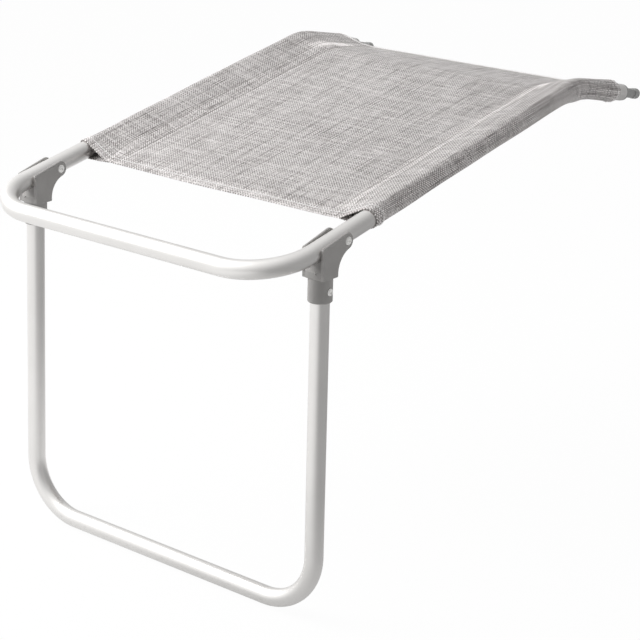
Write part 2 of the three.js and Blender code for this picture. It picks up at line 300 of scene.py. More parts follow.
@dataclass
class BentPath:
    """The axis of a tube that runs straight between its corners and bends round each inner one.

    Attributes:
        corners: The corners of the straight line before bending, (n, 3).
        radii: The bend radius at each inner corner.
    """

    corners: Array
    radii: list[float]
    runs: list[Run] = field(init=False)

    def __post_init__(self) -> None:
        """Divides the axis into its straight and round runs."""
        headings = unit(np.diff(self.corners, axis=0))
        self.runs = []
        here, start = self.corners[0], 0.0
        for corner, heading, after, radius in zip(self.corners[1:], headings, headings[1:], self.radii):
            turn = math.acos(float(np.clip(heading @ after, -1.0, 1.0)))
            inward = unit(after - heading * float(heading @ after))
            begin = corner - heading * radius * math.tan(turn / 2.0)
            straight = float(np.linalg.norm(begin - here))
            self.runs.append(Run(start, straight, here, heading, inward, 0.0))
            self.runs.append(Run(start + straight, radius * turn, begin, heading, inward, radius))
            here = corner + after * radius * math.tan(turn / 2.0)
            start += straight + radius * turn
        last = float(np.linalg.norm(self.corners[-1] - here))
        self.runs.append(Run(start, last, here, headings[-1], headings[-1], 0.0))

    @property
    def length(self) -> float:
        """The axis's whole length."""
        return self.runs[-1].start + self.runs[-1].length

    def locate(self, distance: Array) -> tuple[Array, Array]:
        """Points and directions of the axis.

        Args:
            distance: Distances along the axis, (n,).

        Returns:
            Points and directions, (n, 3) each. On a straight run P = O + s h. On a bend
            P = O + R sin(s/R) h + R (1 - cos(s/R)) m, with m the way to the bend's middle.
        """
        points = np.zeros((len(distance), 3))
        headings = np.zeros((len(distance), 3))
        for run in self.runs:
            local = np.clip(distance - run.start, 0.0, run.length)[:, None]
            if run.radius > 0.0:
                turn = local / run.radius
                arc = np.sin(turn) * run.heading + (1 - np.cos(turn)) * run.inward
                place = run.origin + run.radius * arc
                way = np.cos(turn) * run.heading + np.sin(turn) * run.inward
            else:
                place = run.origin + local * run.heading
                way = np.broadcast_to(run.heading, place.shape)
            inside = (distance >= run.start - 1e-12)[:, None]
            points = np.where(inside, place, points)
            headings = np.where(inside, way, headings)
        return points, headings

    def stations(self, straight: float, bend: float, lip: float) -> Array:
        """Distances at which a tube's rings stand.

        Args:
            straight: The span of rings on a straight run.
            bend: The span of rings on a bend.
            lip: The distance from either end to the ring where the rounded lip starts.

        Returns:
            The distances in order.
        """
        marks = [lip, self.length - lip]
        for run in self.runs:
            count = math.ceil(run.length / (bend if run.radius else straight))
            marks.extend(np.linspace(run.start, run.start + run.length, count + 1))
        return np.unique(np.round(marks, STATION_DECIMALS))


def tube_patch(path: BentPath, side_way: Array, outer: float, inner: float, sides: int = 64) -> Patch:
    """A hollow tube along a path, with rounded lips at its open ends.

    The section's directions at heading h are n = unit(w - (w.h) h) and b = h x n, where w is side_way, and
    P(s, a) = C(s) + r (n cos a + b sin a). r is the outer radius on the way there and the inner one back.

    Args:
        path: The tube's axis.
        side_way: A direction that the axis never runs in.
        outer: The outer radius.
        inner: The bore's radius.
        sides: Spans around.

    Returns:
        The patch.
    """
    lip = LIP_SHARE * (outer - inner)
    outside, inside = path.stations(*OUTER_SPANS, lip), path.stations(*INNER_SPANS, lip)[::-1]
    outer_r, inner_r = np.full(len(outside), outer), np.full(len(inside), inner)
    outer_r[[0, -1]] -= lip
    inner_r[[0, -1]] += lip
    distance = closed(np.concatenate([outside, inside]))
    radius = closed(np.concatenate([outer_r, inner_r]))
    centre, heading = path.locate(distance)
    normal = unit(side_way - (heading @ side_way)[:, None] * heading)
    beside = np.cross(heading, normal)
    angle = np.linspace(0.0, FULL_TURN, sides + 1)
    points = centre[:, None, :] + radius[:, None, None] * spokes(angle, normal, beside)
    return grid_patch(points, meshed(angle * outer, distance[:, None]))


# ---------------------------------------------------------------- shapes to pieces


def sheet_mesh(name: str, patches: list[Patch]) -> Mesh:
    """A mesh with the faces of some patches, their UV map and their edge values.

    Args:
        name: The mesh's name.
        patches: The patches.

    Returns:
        The mesh, smooth all over.
    """
    counts = np.cumsum([0] + [len(p.points) for p in patches])
    loops = [p.faces + low for p, low in zip(patches, counts)]
    totals = np.concatenate([np.full(len(f), f.shape[1]) for f in loops])
    corners = np.concatenate([f.reshape(-1) for f in loops])
    mesh = bpy.data.meshes.new(name)
    mesh.vertices.add(int(counts[-1]))
    mesh.vertices.foreach_set("co", np.concatenate([p.points for p in patches]).astype(np.float32).ravel())
    mesh.loops.add(len(corners))
    mesh.loops.foreach_set("vertex_index", corners.astype(np.int32))
    mesh.polygons.add(len(totals))
    mesh.polygons.foreach_set("loop_start", (np.cumsum(totals) - totals).astype(np.int32))
    mesh.update(calc_edges=True)
    mesh.polygons.foreach_set("use_smooth", np.ones(len(totals), bool))
    places = np.concatenate([p.uv for p in patches])[corners]
    mesh.uv_layers.new(name="UVMap").data.foreach_set("uv", places.astype(np.float32).ravel())
    # Edge values: wear, cloth layers and painted highlights.
    wear = mesh.attributes.new("edge", "FLOAT", "POINT")
    wear.data.foreach_set("value", np.concatenate([p.edge for p in patches]).astype(np.float32))
    return mesh


def closed_mesh(name: str, patches: list[Patch], crease: float) -> Mesh:
    """A mesh of closed shells from patches that meet edge to edge.

    Args:
        name: The mesh's name.
        patches: The patches.
        crease: The angle in degrees from which an edge shows as a crease.

    Returns:
        The mesh, with its doubled points merged and its faces turned outwards.
    """
    mesh = sheet_mesh(name, patches)
    work = bmesh.new()
    work.from_mesh(mesh)
    bmesh.ops.remove_doubles(work, verts=work.verts, dist=MERGE_DISTANCE * 20)
    bmesh.ops.dissolve_degenerate(work, edges=work.edges, dist=MERGE_DISTANCE)
    bmesh.ops.recalc_face_normals(work, faces=work.faces)
    work.to_mesh(mesh)
    work.free()
    mesh.set_sharp_from_angle(angle=math.radians(crease))
    return mesh


def linked(name: str, data: bpy.types.ID) -> Object:
    """A new object in the scene.

    Args:
        name: Its name.
        data: Its mesh, camera or light.

    Returns:
        The object.
    """
    made = bpy.data.objects.new(name, data)
    bpy.context.scene.collection.objects.link(made)
    return made


def aimed(name: str, data: bpy.types.ID, place: Triple, way: Vector) -> Object:
    """A new object in the scene that stands at a place and looks a way.

    Args:
        name: Its name.
        data: Its camera or light.
        place: Where it stands.
        way: The direction it looks in.

    Returns:
        The object.
    """
    made = linked(name, data)
    made.matrix_world = Matrix.Translation(place) @ way.to_track_quat("-Z", "Y").to_matrix().to_4x4()
    return made


def piece(mesh: Mesh, material: Material, body: Body) -> Object:
    """An object for a finished mesh, dressed and set on its body.

    Args:
        mesh: The mesh, in the row frame.
        material: Its finish.
        body: The body that it moves with.

    Returns:
        The object, which has the mesh's name.
    """
    made = linked(mesh.name, mesh)
    mesh.materials.append(material)
    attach(made, body.value)
    log.info("%s: %d faces on %s", mesh.name, len(mesh.polygons), body.value)
    return made


@dataclass(frozen=True)
class Rails:
    """Where the frame's two rails lie, and the spaces that pieces are drawn in.

    Frame space has y along the rails from the front bar's axis and z square to them. Leg space has z up
    the leg from the point where its axis crosses the rail's.
    """

    spacing: float = 0.445
    length: float = 0.586
    tail_bend_radius: float = 0.1
    tail_bend: float = math.radians(22.4)
    tail_length: float = 0.1065
    pitch: float = math.radians(8.57)
    tube_radius: float = 0.011
    tube_bore: float = 0.0098
    leg_setback: float = 0.0855
    leg_lean: float = math.radians(-3.07)
    leg_splay: float = math.radians(0.81)
    pivot_setback: float = 0.115
    rivet_drop: float = 0.0466

    @property
    def x(self) -> float:
        """The right rail's distance from the middle."""
        return self.spacing / 2.0

    @property
    def tail_start(self) -> float:
        """The distance along a rail at which its tail is straight again."""
        return self.length + self.tail_bend_radius * self.tail_bend

    @property
    def tail_end(self) -> float:
        """The distance along a rail at which its tube ends."""
        return self.tail_start + self.tail_length

    @property
    def leg_to_rail(self) -> float:
        """The angle between the leg and the square to the rails."""
        return self.pitch - self.leg_lean

    def over(self, x: Array | float, along: Array | float, height: Array | float) -> Array:
        """Points over the rails in frame space.

        With t = clamp((s - L) / R, 0, bend) and a = R + h, a point is y = min(s, L) + a sin t + q cos t and
        z = a cos t - R - q sin t, where q is what s goes past the bend by.

        Args:
            x: Places across.
            along: Distances s along the rails, tail included.
            height: Heights h over the rails' axes.

        Returns:
            The points, (..., 3).
        """
        x, along, height = np.broadcast_arrays(x, along, height)
        turn = np.clip((along - self.length) / self.tail_bend_radius, 0.0, self.tail_bend)
        tail = np.maximum(along - self.tail_start, 0.0)
        arm = self.tail_bend_radius + height
        y = np.minimum(along, self.length) + arm * np.sin(turn) + tail * np.cos(turn)
        z = arm * np.cos(turn) - self.tail_bend_radius - tail * np.sin(turn)
        return np.stack([x, y, z], axis=-1)

    def frame_to_row(self, points: Array) -> Array:
        """Points of frame space, in the row frame."""
        return turn_about_x(points - self.over(0.0, self.tail_end, 0.0), self.pitch)

    def leg_to_row(self, points: Array) -> Array:
        """Points of leg space, in the row frame."""
        turned = turn_about_x(points, -self.leg_to_rail)
        return self.frame_to_row(turned + np.array([0.0, self.leg_setback, 0.0]))

    def leg_x(self, drop: float) -> float:
        """The distance from the middle of the right leg's axis, at a drop below the rail's."""
        return self.x + drop * math.tan(self.leg_splay)

    def bent_tube(self, right: Array, radii: list[float], side_way: Array) -> Patch:
        """A bent tube whose axis goes through the corners on the right and through their mirror images."""
        corners = np.concatenate([right[::-1] * [-1.0, 1.0, 1.0], right])
        return tube_patch(BentPath(corners, radii), side_way, self.tube_radius, self.tube_bore)

    def placed(self, patch: Patch, on_leg: bool) -> Patch:
        """A patch of frame or leg space, in the row frame."""
        points = self.leg_to_row(patch.points) if on_leg else self.frame_to_row(patch.points)
        return Patch(points, patch.faces, patch.uv, patch.edge)


# ---------------------------------------------------------------- finishes


class Graph:
    """The node tree of a material or the world, put together by short calls."""

    def __init__(self, owner: Material | World) -> None:
        """Empties the owner's tree.

        Args:
            owner: The material or world.
        """
        owner.use_nodes = True
        self.owner, self.tree = owner, owner.node_tree
        self.tree.nodes.clear()

    def add(self, kind: str, feeds: dict | None = None, **settings: object) -> bpy.types.Node:
        """Adds a node.

        Args:
            kind: The node's type without the word ShaderNode.
            feeds: What goes into its inputs: a socket or a plain value, by name or number.
            **settings: Properties of the node.

        Returns:
            The node.
        """
        node = self.tree.nodes.new("ShaderNode" + kind)
        for name, value in settings.items():
            setattr(node, name, value)
        for key, source in (feeds or {}).items():
            if isinstance(source, Socket):
                self.tree.links.new(source, node.inputs[key])
            else:
                node.inputs[key].default_value = source
        return node

    def uv(self) -> Socket:
        """Places on the surface, in metres."""
        return self.add("UVMap", uv_map="UVMap").outputs[0]

    def place(self) -> Socket:
        """Places in space, in metres."""
        return self.add("TexCoord").outputs["Object"]

    def edge(self) -> Socket:
        """The edge value that a mesh carries."""
        return self.add("Attribute", attribute_name="edge").outputs["Fac"]

    def split(self, place: Socket) -> bpy.types.bpy_prop_collection:
        """The three parts of a place."""
        return self.add("SeparateXYZ", {0: place}).outputs

    def along(self, place: Socket, way: Triple) -> Socket:
        """How far a place lies along a way, by the dot product."""
        return self.add("VectorMath", {0: place, 1: way}, operation="DOT_PRODUCT").outputs["Value"]

    def between(self, share: object, first: object, second: object) -> Socket:
        """A number between two."""
        return self.add("Mix", {0: share, 2: first, 3: second}, data_type="FLOAT").outputs[0]

    def math(self, operation: str, *sources: object) -> Socket:
        """The result of a Math node on sockets or plain numbers."""
        return self.add("Math", dict(enumerate(sources)), operation=operation).outputs[0]

    def mix(self, share: object, first: object, second: object, blend: str = "MIX") -> Socket:
        """A colour between two, or one laid over another in the way that blend names."""
        node = self.add("Mix", {0: share, 6: first, 7: second}, data_type="RGBA", blend_type=blend)
        return node.outputs[2]

    def steps(self, share: object, stops: list[tuple[float, tuple[float, ...]]]) -> Socket:
        """A colour read from a ramp with stops of place and colour.

        Args:
            share: Where it is read.
            stops: The ramp's places and their colours, in order.

        Returns:
            The colour.
        """
        node = self.add("ValToRGB", {0: share})
        ramp = node.color_ramp
        ramp.elements[0].position, ramp.elements[-1].position = stops[0][0], stops[-1][0]
        ramp.elements[0].color, ramp.elements[-1].color = (*stops[0][1], 1.0), (*stops[-1][1], 1.0)
        for place, colour in stops[1:-1]:
            ramp.elements.new(place).color = (*colour, 1.0)
        return node.outputs[0]

    def spread(self, value: object, low: float, high: float, bottom: float, top: float) -> Socket:
        """A value carried from one span to another and held inside it."""
        return self.add("MapRange", dict(enumerate((value, low, high, bottom, top)))).outputs[0]

    def noise(self, place: object, scale: float, detail: float = 2.0, rough: float = 0.5) -> Socket:
        """The value of a noise over places."""
        feeds = {"Vector": place, "Scale": scale, "Detail": detail, "Roughness": rough}
        return self.add("TexNoise", feeds).outputs[0]

    def stretched(self, place: object, scale: Triple) -> Socket:
        """Places scaled by a different amount along each axis."""
        return self.add("VectorMath", {0: place, 1: scale}, operation="MULTIPLY").outputs[0]

    def surface(self, **feeds: object) -> Material:
        """Ends the material in a Principled shader, whose inputs are named with _ for a blank.

        Args:
            **feeds: What goes into the shader's inputs.

        Returns:
            The material.
        """
        named = {name.replace("_", " "): source for name, source in feeds.items()}
        self.add("OutputMaterial", {0: self.add("BsdfPrincipled", named).outputs[0]})
        return self.owner

    def bump(self, height: object, distance: float, strength: float = 1.0) -> Socket:
        """A normal from a height."""
        return self.add("Bump", {"Height": height, "Distance": distance, "Strength": strength}).outputs[0]


@dataclass(frozen=True)
class AnodisedTube:
    """Satin anodised aluminium tube, with the fine lines of its drawing along it and scuffs at the foot."""

    tone: Colour = (0.892, 0.877, 0.860, 1.0)
    scuffed: Colour = (0.62, 0.61, 0.59, 1.0)
    scuff_heights: Pair = (-0.475, -0.495)
    line_scale: Triple = (2600.0, 9.0, 1.0)
    line_depth: float = 0.00002
    scratch_scale: Triple = (900.0, 120.0, 1.0)
    cloud_scale: float = 22.0
    cloud_share: float = 0.12
    scuff_share: float = 0.8
    roughness: Pair = (0.30, 0.40)
    scuff_roughness: float = 0.12

    def build(self) -> Material:
        """Makes the material.

        Returns:
            The material.
        """
        graph = Graph(bpy.data.materials.new("anodised_tube"))
        uv, place = graph.uv(), graph.place()
        lines = graph.noise(graph.stretched(uv, self.line_scale), 1.0, 3.0, 0.6)
        cloud = graph.noise(place, self.cloud_scale, 4.0, 0.55)
        low = graph.spread(graph.split(place)[2], *self.scuff_heights, 0.0, 1.0)
        scratch = graph.noise(graph.stretched(uv, self.scratch_scale), 1.0, 5.0, 0.7)
        scuff = graph.math("MULTIPLY", graph.spread(scratch, 0.52, 0.62, 0.0, self.scuff_share), low)
        tone = graph.mix(graph.spread(cloud, 0.35, 0.65, 0.0, self.cloud_share), self.tone, self.scuffed)
        rubbed = graph.math("MULTIPLY", scuff, self.scuff_roughness)
        return graph.surface(
            Base_Color=graph.mix(scuff, tone, self.scuffed),
            Metallic=1.0,
            Roughness=graph.math("ADD", graph.spread(lines, 0.3, 0.7, *self.roughness), rubbed),
            Normal=graph.bump(lines, self.line_depth, 0.35),
        )


@dataclass(frozen=True)
class MouldedPlastic:
    """Fine-textured moulded plastic that is paler along its edges: rubbed, and on the bracket also a painted
    highlight.

    Attributes:
        name: The material's name.
        tone: Its colour.
        rubbed: Its colour on a worn edge, which on the bracket is also a painted highlight.
        grain_scale: How many grains of the texture go to a metre.
    """

    name: str
    tone: Colour
    rubbed: Colour
    grain_scale: float = 1500.0
    grain_depth: float = 0.00006
    cloud_scale: float = 70.0
    cloud_share: float = 0.16
    chip_scale: float = 420.0
    wear_and_highlight_share: float = 0.75
    roughness: Pair = (0.44, 0.58)

    def build(self) -> Material:
        """Makes the material.

        Returns:
            The material.
        """
        graph = Graph(bpy.data.materials.new(self.name))
        place = graph.place()
        cloud = graph.noise(place, self.cloud_scale, 3.0, 0.5)
        grain = graph.noise(place, self.grain_scale, 2.0, 0.5)
        chips = graph.spread(graph.noise(place, self.chip_scale, 4.0, 0.65), 0.38, 0.62, 0.25, 1.0)
        # Edges take the paler colour by their edge values and chips: wear, and on the bracket also a painted
        # highlight.
        wear = graph.math("MULTIPLY", graph.math("MULTIPLY", graph.edge(), chips), self.wear_and_highlight_share)
        mottled = graph.mix(graph.spread(cloud, 0.3, 0.7, 0.0, self.cloud_share), self.tone, self.rubbed)
        return graph.surface(
            Base_Color=graph.mix(wear, mottled, self.rubbed),
            Roughness=graph.spread(grain, 0.3, 0.7, *self.roughness),
            Normal=graph.bump(grain, self.grain_depth, 0.5),
        )


@dataclass(frozen=True)
class BrightRivet:
    """Bright plated steel with the faint rings of the setting tool."""

    tone: Colour = (0.97, 0.965, 0.945, 1.0)
    dull: Colour = (0.76, 0.75, 0.72, 1.0)
    dull_share: float = 0.6
    mirror_share: float = 0.25
    ring_scale: Triple = (30.0, 5200.0, 1.0)
    ring_depth: float = 0.00002
    cloud_scale: float = 380.0
    roughness: Pair = (0.16, 0.34)

    def build(self) -> Material:
        """Makes the material.

        Returns:
            The material.
        """
        graph = Graph(bpy.data.materials.new("bright_rivet"))
        rings = graph.noise(graph.stretched(graph.uv(), self.ring_scale), 1.0, 2.0, 0.5)
        cloud = graph.noise(graph.place(), self.cloud_scale, 3.0, 0.6)
        return graph.surface(
            Base_Color=graph.mix(graph.spread(cloud, 0.45, 0.7, 0.0, self.dull_share), self.tone, self.dull),
            Metallic=self.mirror_share,
            Roughness=graph.spread(cloud, 0.3, 0.7, *self.roughness),
            Normal=graph.bump(rings, self.ring_depth, 0.5),
        )


@dataclass(frozen=True)
class MeshCloth:
    """Open plain weave of coated yarns, light grey melange, with darker slubs running both ways.

    On the UV map, which is in metres, yarn number i runs along v and yarn number j along u. The yarn on
    top of crossing (i, j) is the first where i + j is odd. Its height is sin(pi f) (a + b sin(pi g)), with
    f across the yarn and g along it.

    Attributes:
        pitch: The distance between yarns.
        relief: The height of a yarn's crown over the gaps.
        dark: The tone of a slub.
        middle: The tone of most weft yarns.
        light: The tone of most warp yarns.
        slub_run: How fast the noise that makes slubs is walked through for each crossing along the yarn, as
            thin_run and fleck_run are for thin places and flecks.
        slub_apart: How far apart it is from yarn to yarn, as fleck_apart is for thin places and flecks.
        painted_shading: What a yarn's tone is multiplied by in a gap and on its crown: painted shade in the
            gaps
        and a slight painted highlight on the crowns.
        double_gain: How much lighter two layers are, which let less of the dark beneath show through, and how
        much the painted highlight lifts a yarn for each layer over one.
        ceiling: The most that a yarn's tone is multiplied by.
        highlight_shift: How much nearer the light tone a yarn is painted for each layer over one, which only
            the
        painted highlight beside the far seams gives.
    """

    pitch: float = 0.00195
    relief: float = 0.00035
    dark: Triple = (0.20, 0.182, 0.176)
    middle: Triple = (0.50, 0.470, 0.462)
    light: Triple = (0.90, 0.865, 0.855)
    tone_places: Triple = (0.33, 0.47, 0.66)
    warp_shift: float = 0.10
    weft_shift: float = -0.09
    slub_run: float = 0.024
    thin_run: float = 0.05
    fleck_run: float = 0.38
    slub_apart: float = 0.95
    fleck_apart: float = 17.31
    painted_shading: Pair = (0.27, 1.05)
    double_gain: float = 0.14
    ceiling: float = 1.19
    highlight_shift: float = 0.045
    roughness: float = 0.62
    sheen: Pair = (0.12, 0.5)

    def yarn(self, graph: Graph, number: object, run: object, seed: float) -> Socket:
        """A yarn's tone from 0 to 1: long slubs and short flecks, other ones on each yarn.

        Args:
            graph: The material's tree.
            number: The yarn's number.
            run: The distance along it, in crossings.
            seed: Sets the two ways of the weave apart.

        Returns:
            The tone.
        """
        near = graph.math("MULTIPLY_ADD", number, self.slub_apart, seed)
        apart = graph.math("MULTIPLY_ADD", number, self.fleck_apart, seed)
        long, thin, short = (
            graph.add("CombineXYZ", {0: across, 1: graph.math("MULTIPLY", run, share), 2: seed}).outputs[0]
            for across, share in ((near, self.slub_run), (apart, self.thin_run), (apart, self.fleck_run))
        )
        slub = graph.spread(graph.noise(long, 1.0, 2.0, 0.55), 0.40, 0.70, 0.09, -0.17)
        ends = graph.math("MULTIPLY_ADD", graph.noise(thin, 1.0, 1.0, 0.5), 0.44, -0.22)
        fleck = graph.math("MULTIPLY_ADD", graph.noise(short, 1.0, 1.0, 0.5), 0.30, 0.35)
        return graph.math("ADD", graph.math("ADD", slub, ends), fleck)

    def bulge(self, graph: Graph, across: object, along: object) -> Socket:
        """A yarn's height over a crossing, from 0 in the gap to 1 on its crown.

        Args:
            graph: The material's tree.
            across: The place f across the yarn, from 0 to 1.
            along: The place g along it, from 0 to 1.

        Returns:
            The height, sin(pi f) (1 + sin(pi g)) / 2.
        """
        round_over = graph.math("SINE", graph.math("MULTIPLY", across, math.pi))
        crown = graph.math("SINE", graph.math("MULTIPLY", along, math.pi))
        return graph.math("MULTIPLY", round_over, graph.math("MULTIPLY_ADD", crown, 0.5, 0.5))

    def build(self) -> Material:
        """Makes the material.

        Returns:
            The material.
        """
        graph = Graph(bpy.data.materials.new("mesh_cloth"))
        s, t, _ = graph.split(graph.stretched(graph.uv(), (1.0 / self.pitch, 1.0 / self.pitch, 1.0)))
        i, j = graph.math("FLOOR", s), graph.math("FLOOR", t)
        f, g = graph.math("FRACT", s), graph.math("FRACT", t)
        warp_on_top = graph.math("FLOORED_MODULO", graph.math("ADD", i, j), 2.0)
        warp_tone = graph.math("ADD", self.yarn(graph, i, t, 3.7), self.warp_shift)
        weft_tone = graph.math("ADD", self.yarn(graph, j, s, 41.9), self.weft_shift)
        tone = graph.between(warp_on_top, weft_tone, warp_tone)
        height = graph.between(warp_on_top, self.bulge(graph, g, f), self.bulge(graph, f, g))
        double = graph.edge()
        # The edge value past one is the painted highlight beside the far seams. It shifts the tone towards
        # the light yarns and, with double_gain, lifts the shade.
        highlight_layers = graph.math("MAXIMUM", graph.math("SUBTRACT", double, 1.0), 0.0)
        tone = graph.math("MULTIPLY_ADD", highlight_layers, self.highlight_shift, tone)
        colour = graph.steps(tone, list(zip(self.tone_places, (self.dark, self.middle, self.light))))
        # Painted shade: yarns are painted darker down into the gaps between them and a little lighter on
        # their crowns.
        painted_shade = graph.spread(height, 0.0, 0.75, *self.painted_shading)
        lifted = graph.math("MULTIPLY_ADD", double, self.double_gain, painted_shade)
        grey = graph.add("CombineColor", dict.fromkeys(range(3), graph.math("MINIMUM", lifted, self.ceiling)))
        return graph.surface(
            Base_Color=graph.mix(1.0, colour, grey.outputs[0], "MULTIPLY"),
            Roughness=self.roughness,
            Sheen_Weight=self.sheen[0],
            Sheen_Roughness=self.sheen[1],
            Normal=graph.bump(height, self.relief, 0.8),
        )


@dataclass(frozen=True)
class SewingThread:
    """Two-ply sewing thread.

    Attributes:
        name: The material's name.
        tone: Its colour.
        valley_shade: Its colour between the plies, painted darker as the shade in the grooves.
    """

    name: str
    tone: Colour
    valley_shade: Colour
    ply_pitch: float = 0.0007
    ply_depth: float = 0.00005
    roughness: float = 0.7

    def build(self) -> Material:
        """Makes the material.

        Returns:
            The material.
        """
        graph = Graph(bpy.data.materials.new(self.name))
        round_way, run, _ = graph.split(graph.uv())
        slant = graph.math("MULTIPLY_ADD", run, 1.0, round_way)
        ply = graph.math("SINE", graph.math("MULTIPLY", slant, FULL_TURN / self.ply_pitch))
        share = graph.spread(ply, -1.0, 0.4, 0.0, 1.0)
        # Painted shade: the thread is darker in the grooves between the plies.
        colour, normal = graph.mix(share, self.valley_shade, self.tone), graph.bump(share, self.ply_depth, 0.6)
        return graph.surface(Base_Color=colour, Roughness=self.roughness, Normal=normal)


@dataclass(frozen=True)
class Finishes:
    """All the finishes of the leg rest, each made once."""

    tube: Material = field(default_factory=AnodisedTube().build)
    # The bracket's paler edge colour is wear and a painted highlight.
    bracket: Material = field(
        default_factory=MouldedPlastic(
            "bracket_plastic", (0.302, 0.293, 0.285, 1.0), (0.49, 0.48, 0.47, 1.0)
        ).build
    )
    plug: Material = field(
        default_factory=MouldedPlastic(
            "plug_plastic", (0.305, 0.307, 0.299, 1.0), (0.45, 0.45, 0.44, 1.0)
        ).build
    )
    rivet: Material = field(default_factory=BrightRivet().build)
    cloth: Material = field(default_factory=MeshCloth().build)
    hem_thread: Material = field(
        default_factory=SewingThread("hem_thread", (0.98, 0.975, 0.965, 1.0), (0.84, 0.83, 0.82, 1.0)).build
    )
    seam_thread: Material = field(
        default_factory=SewingThread("seam_thread", (0.54, 0.525, 0.51, 1.0), (0.34, 0.33, 0.32, 1.0)).build
    )


# ---------------------------------------------------------------- the pieces


@dataclass
class Part:
    """What every sub-assembly starts from: the rails that it is drawn on and the finishes."""

    rails: Rails
    finishes: Finishes

    def closed_piece(
        self, name: str, node: str, patches: list[Patch], finish: Material, body: Body, slot: Slot,
        crease: float = CREASE,
    ) -> list[Object]:
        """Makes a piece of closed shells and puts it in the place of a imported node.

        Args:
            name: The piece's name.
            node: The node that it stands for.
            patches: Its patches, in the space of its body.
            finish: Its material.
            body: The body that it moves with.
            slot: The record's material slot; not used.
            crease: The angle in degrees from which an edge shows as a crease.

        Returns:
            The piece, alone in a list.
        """
        placed = [self.rails.placed(patch, body is Body.LEG) for patch in patches]
        made = piece(closed_mesh(name, placed, crease), finish, body)
        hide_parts(node)
        return [made]


@dataclass
class TubeFrame(Part):
    """The bent tube frame: a front bar, two rails and two tails that turn down to the chair."""

    front_corner_radius: float = 0.072

    def build(self) -> list[Object]:
        """Makes the tube.

        Returns:
            The piece.
        """
        rails = self.rails
        bend_y = rails.length + rails.tail_bend_radius * math.tan(rails.tail_bend / 2.0)
        tip = rails.over(rails.x, rails.tail_end, 0.0)
        right = np.array([[rails.x, 0.0, 0.0], [rails.x, bend_y, 0.0], tip])
        front, tail = self.front_corner_radius, rails.tail_bend_radius
        patch = rails.bent_tube(right, [tail, front, front, tail], UP)
        return self.closed_piece(
            "tube_frame", "frame_tube", [patch], self.finishes.tube, Body.FRAME, Slot.ALUMINIUM
        )


@dataclass
class FoldingLeg(Part):
    """The leg: two splayed tubes in one with the foot bar."""

    drop: float = 0.4393
    corner_radius: float = 0.0705
    seat_drop: float = 0.0253

    def build(self) -> list[Object]:
        """Makes the tube.

        Returns:
            The piece.
        """
        right = np.array([[self.rails.leg_x(drop), 0.0, -drop] for drop in (self.drop, self.seat_drop)])
        patch = self.rails.bent_tube(right, [self.corner_radius] * 2, np.array([0.0, 1.0, 0.0]))
        return self.closed_piece(
            "folding_leg", "leg_tube", [patch], self.finishes.tube, Body.LEG, Slot.ALUMINIUM
        )


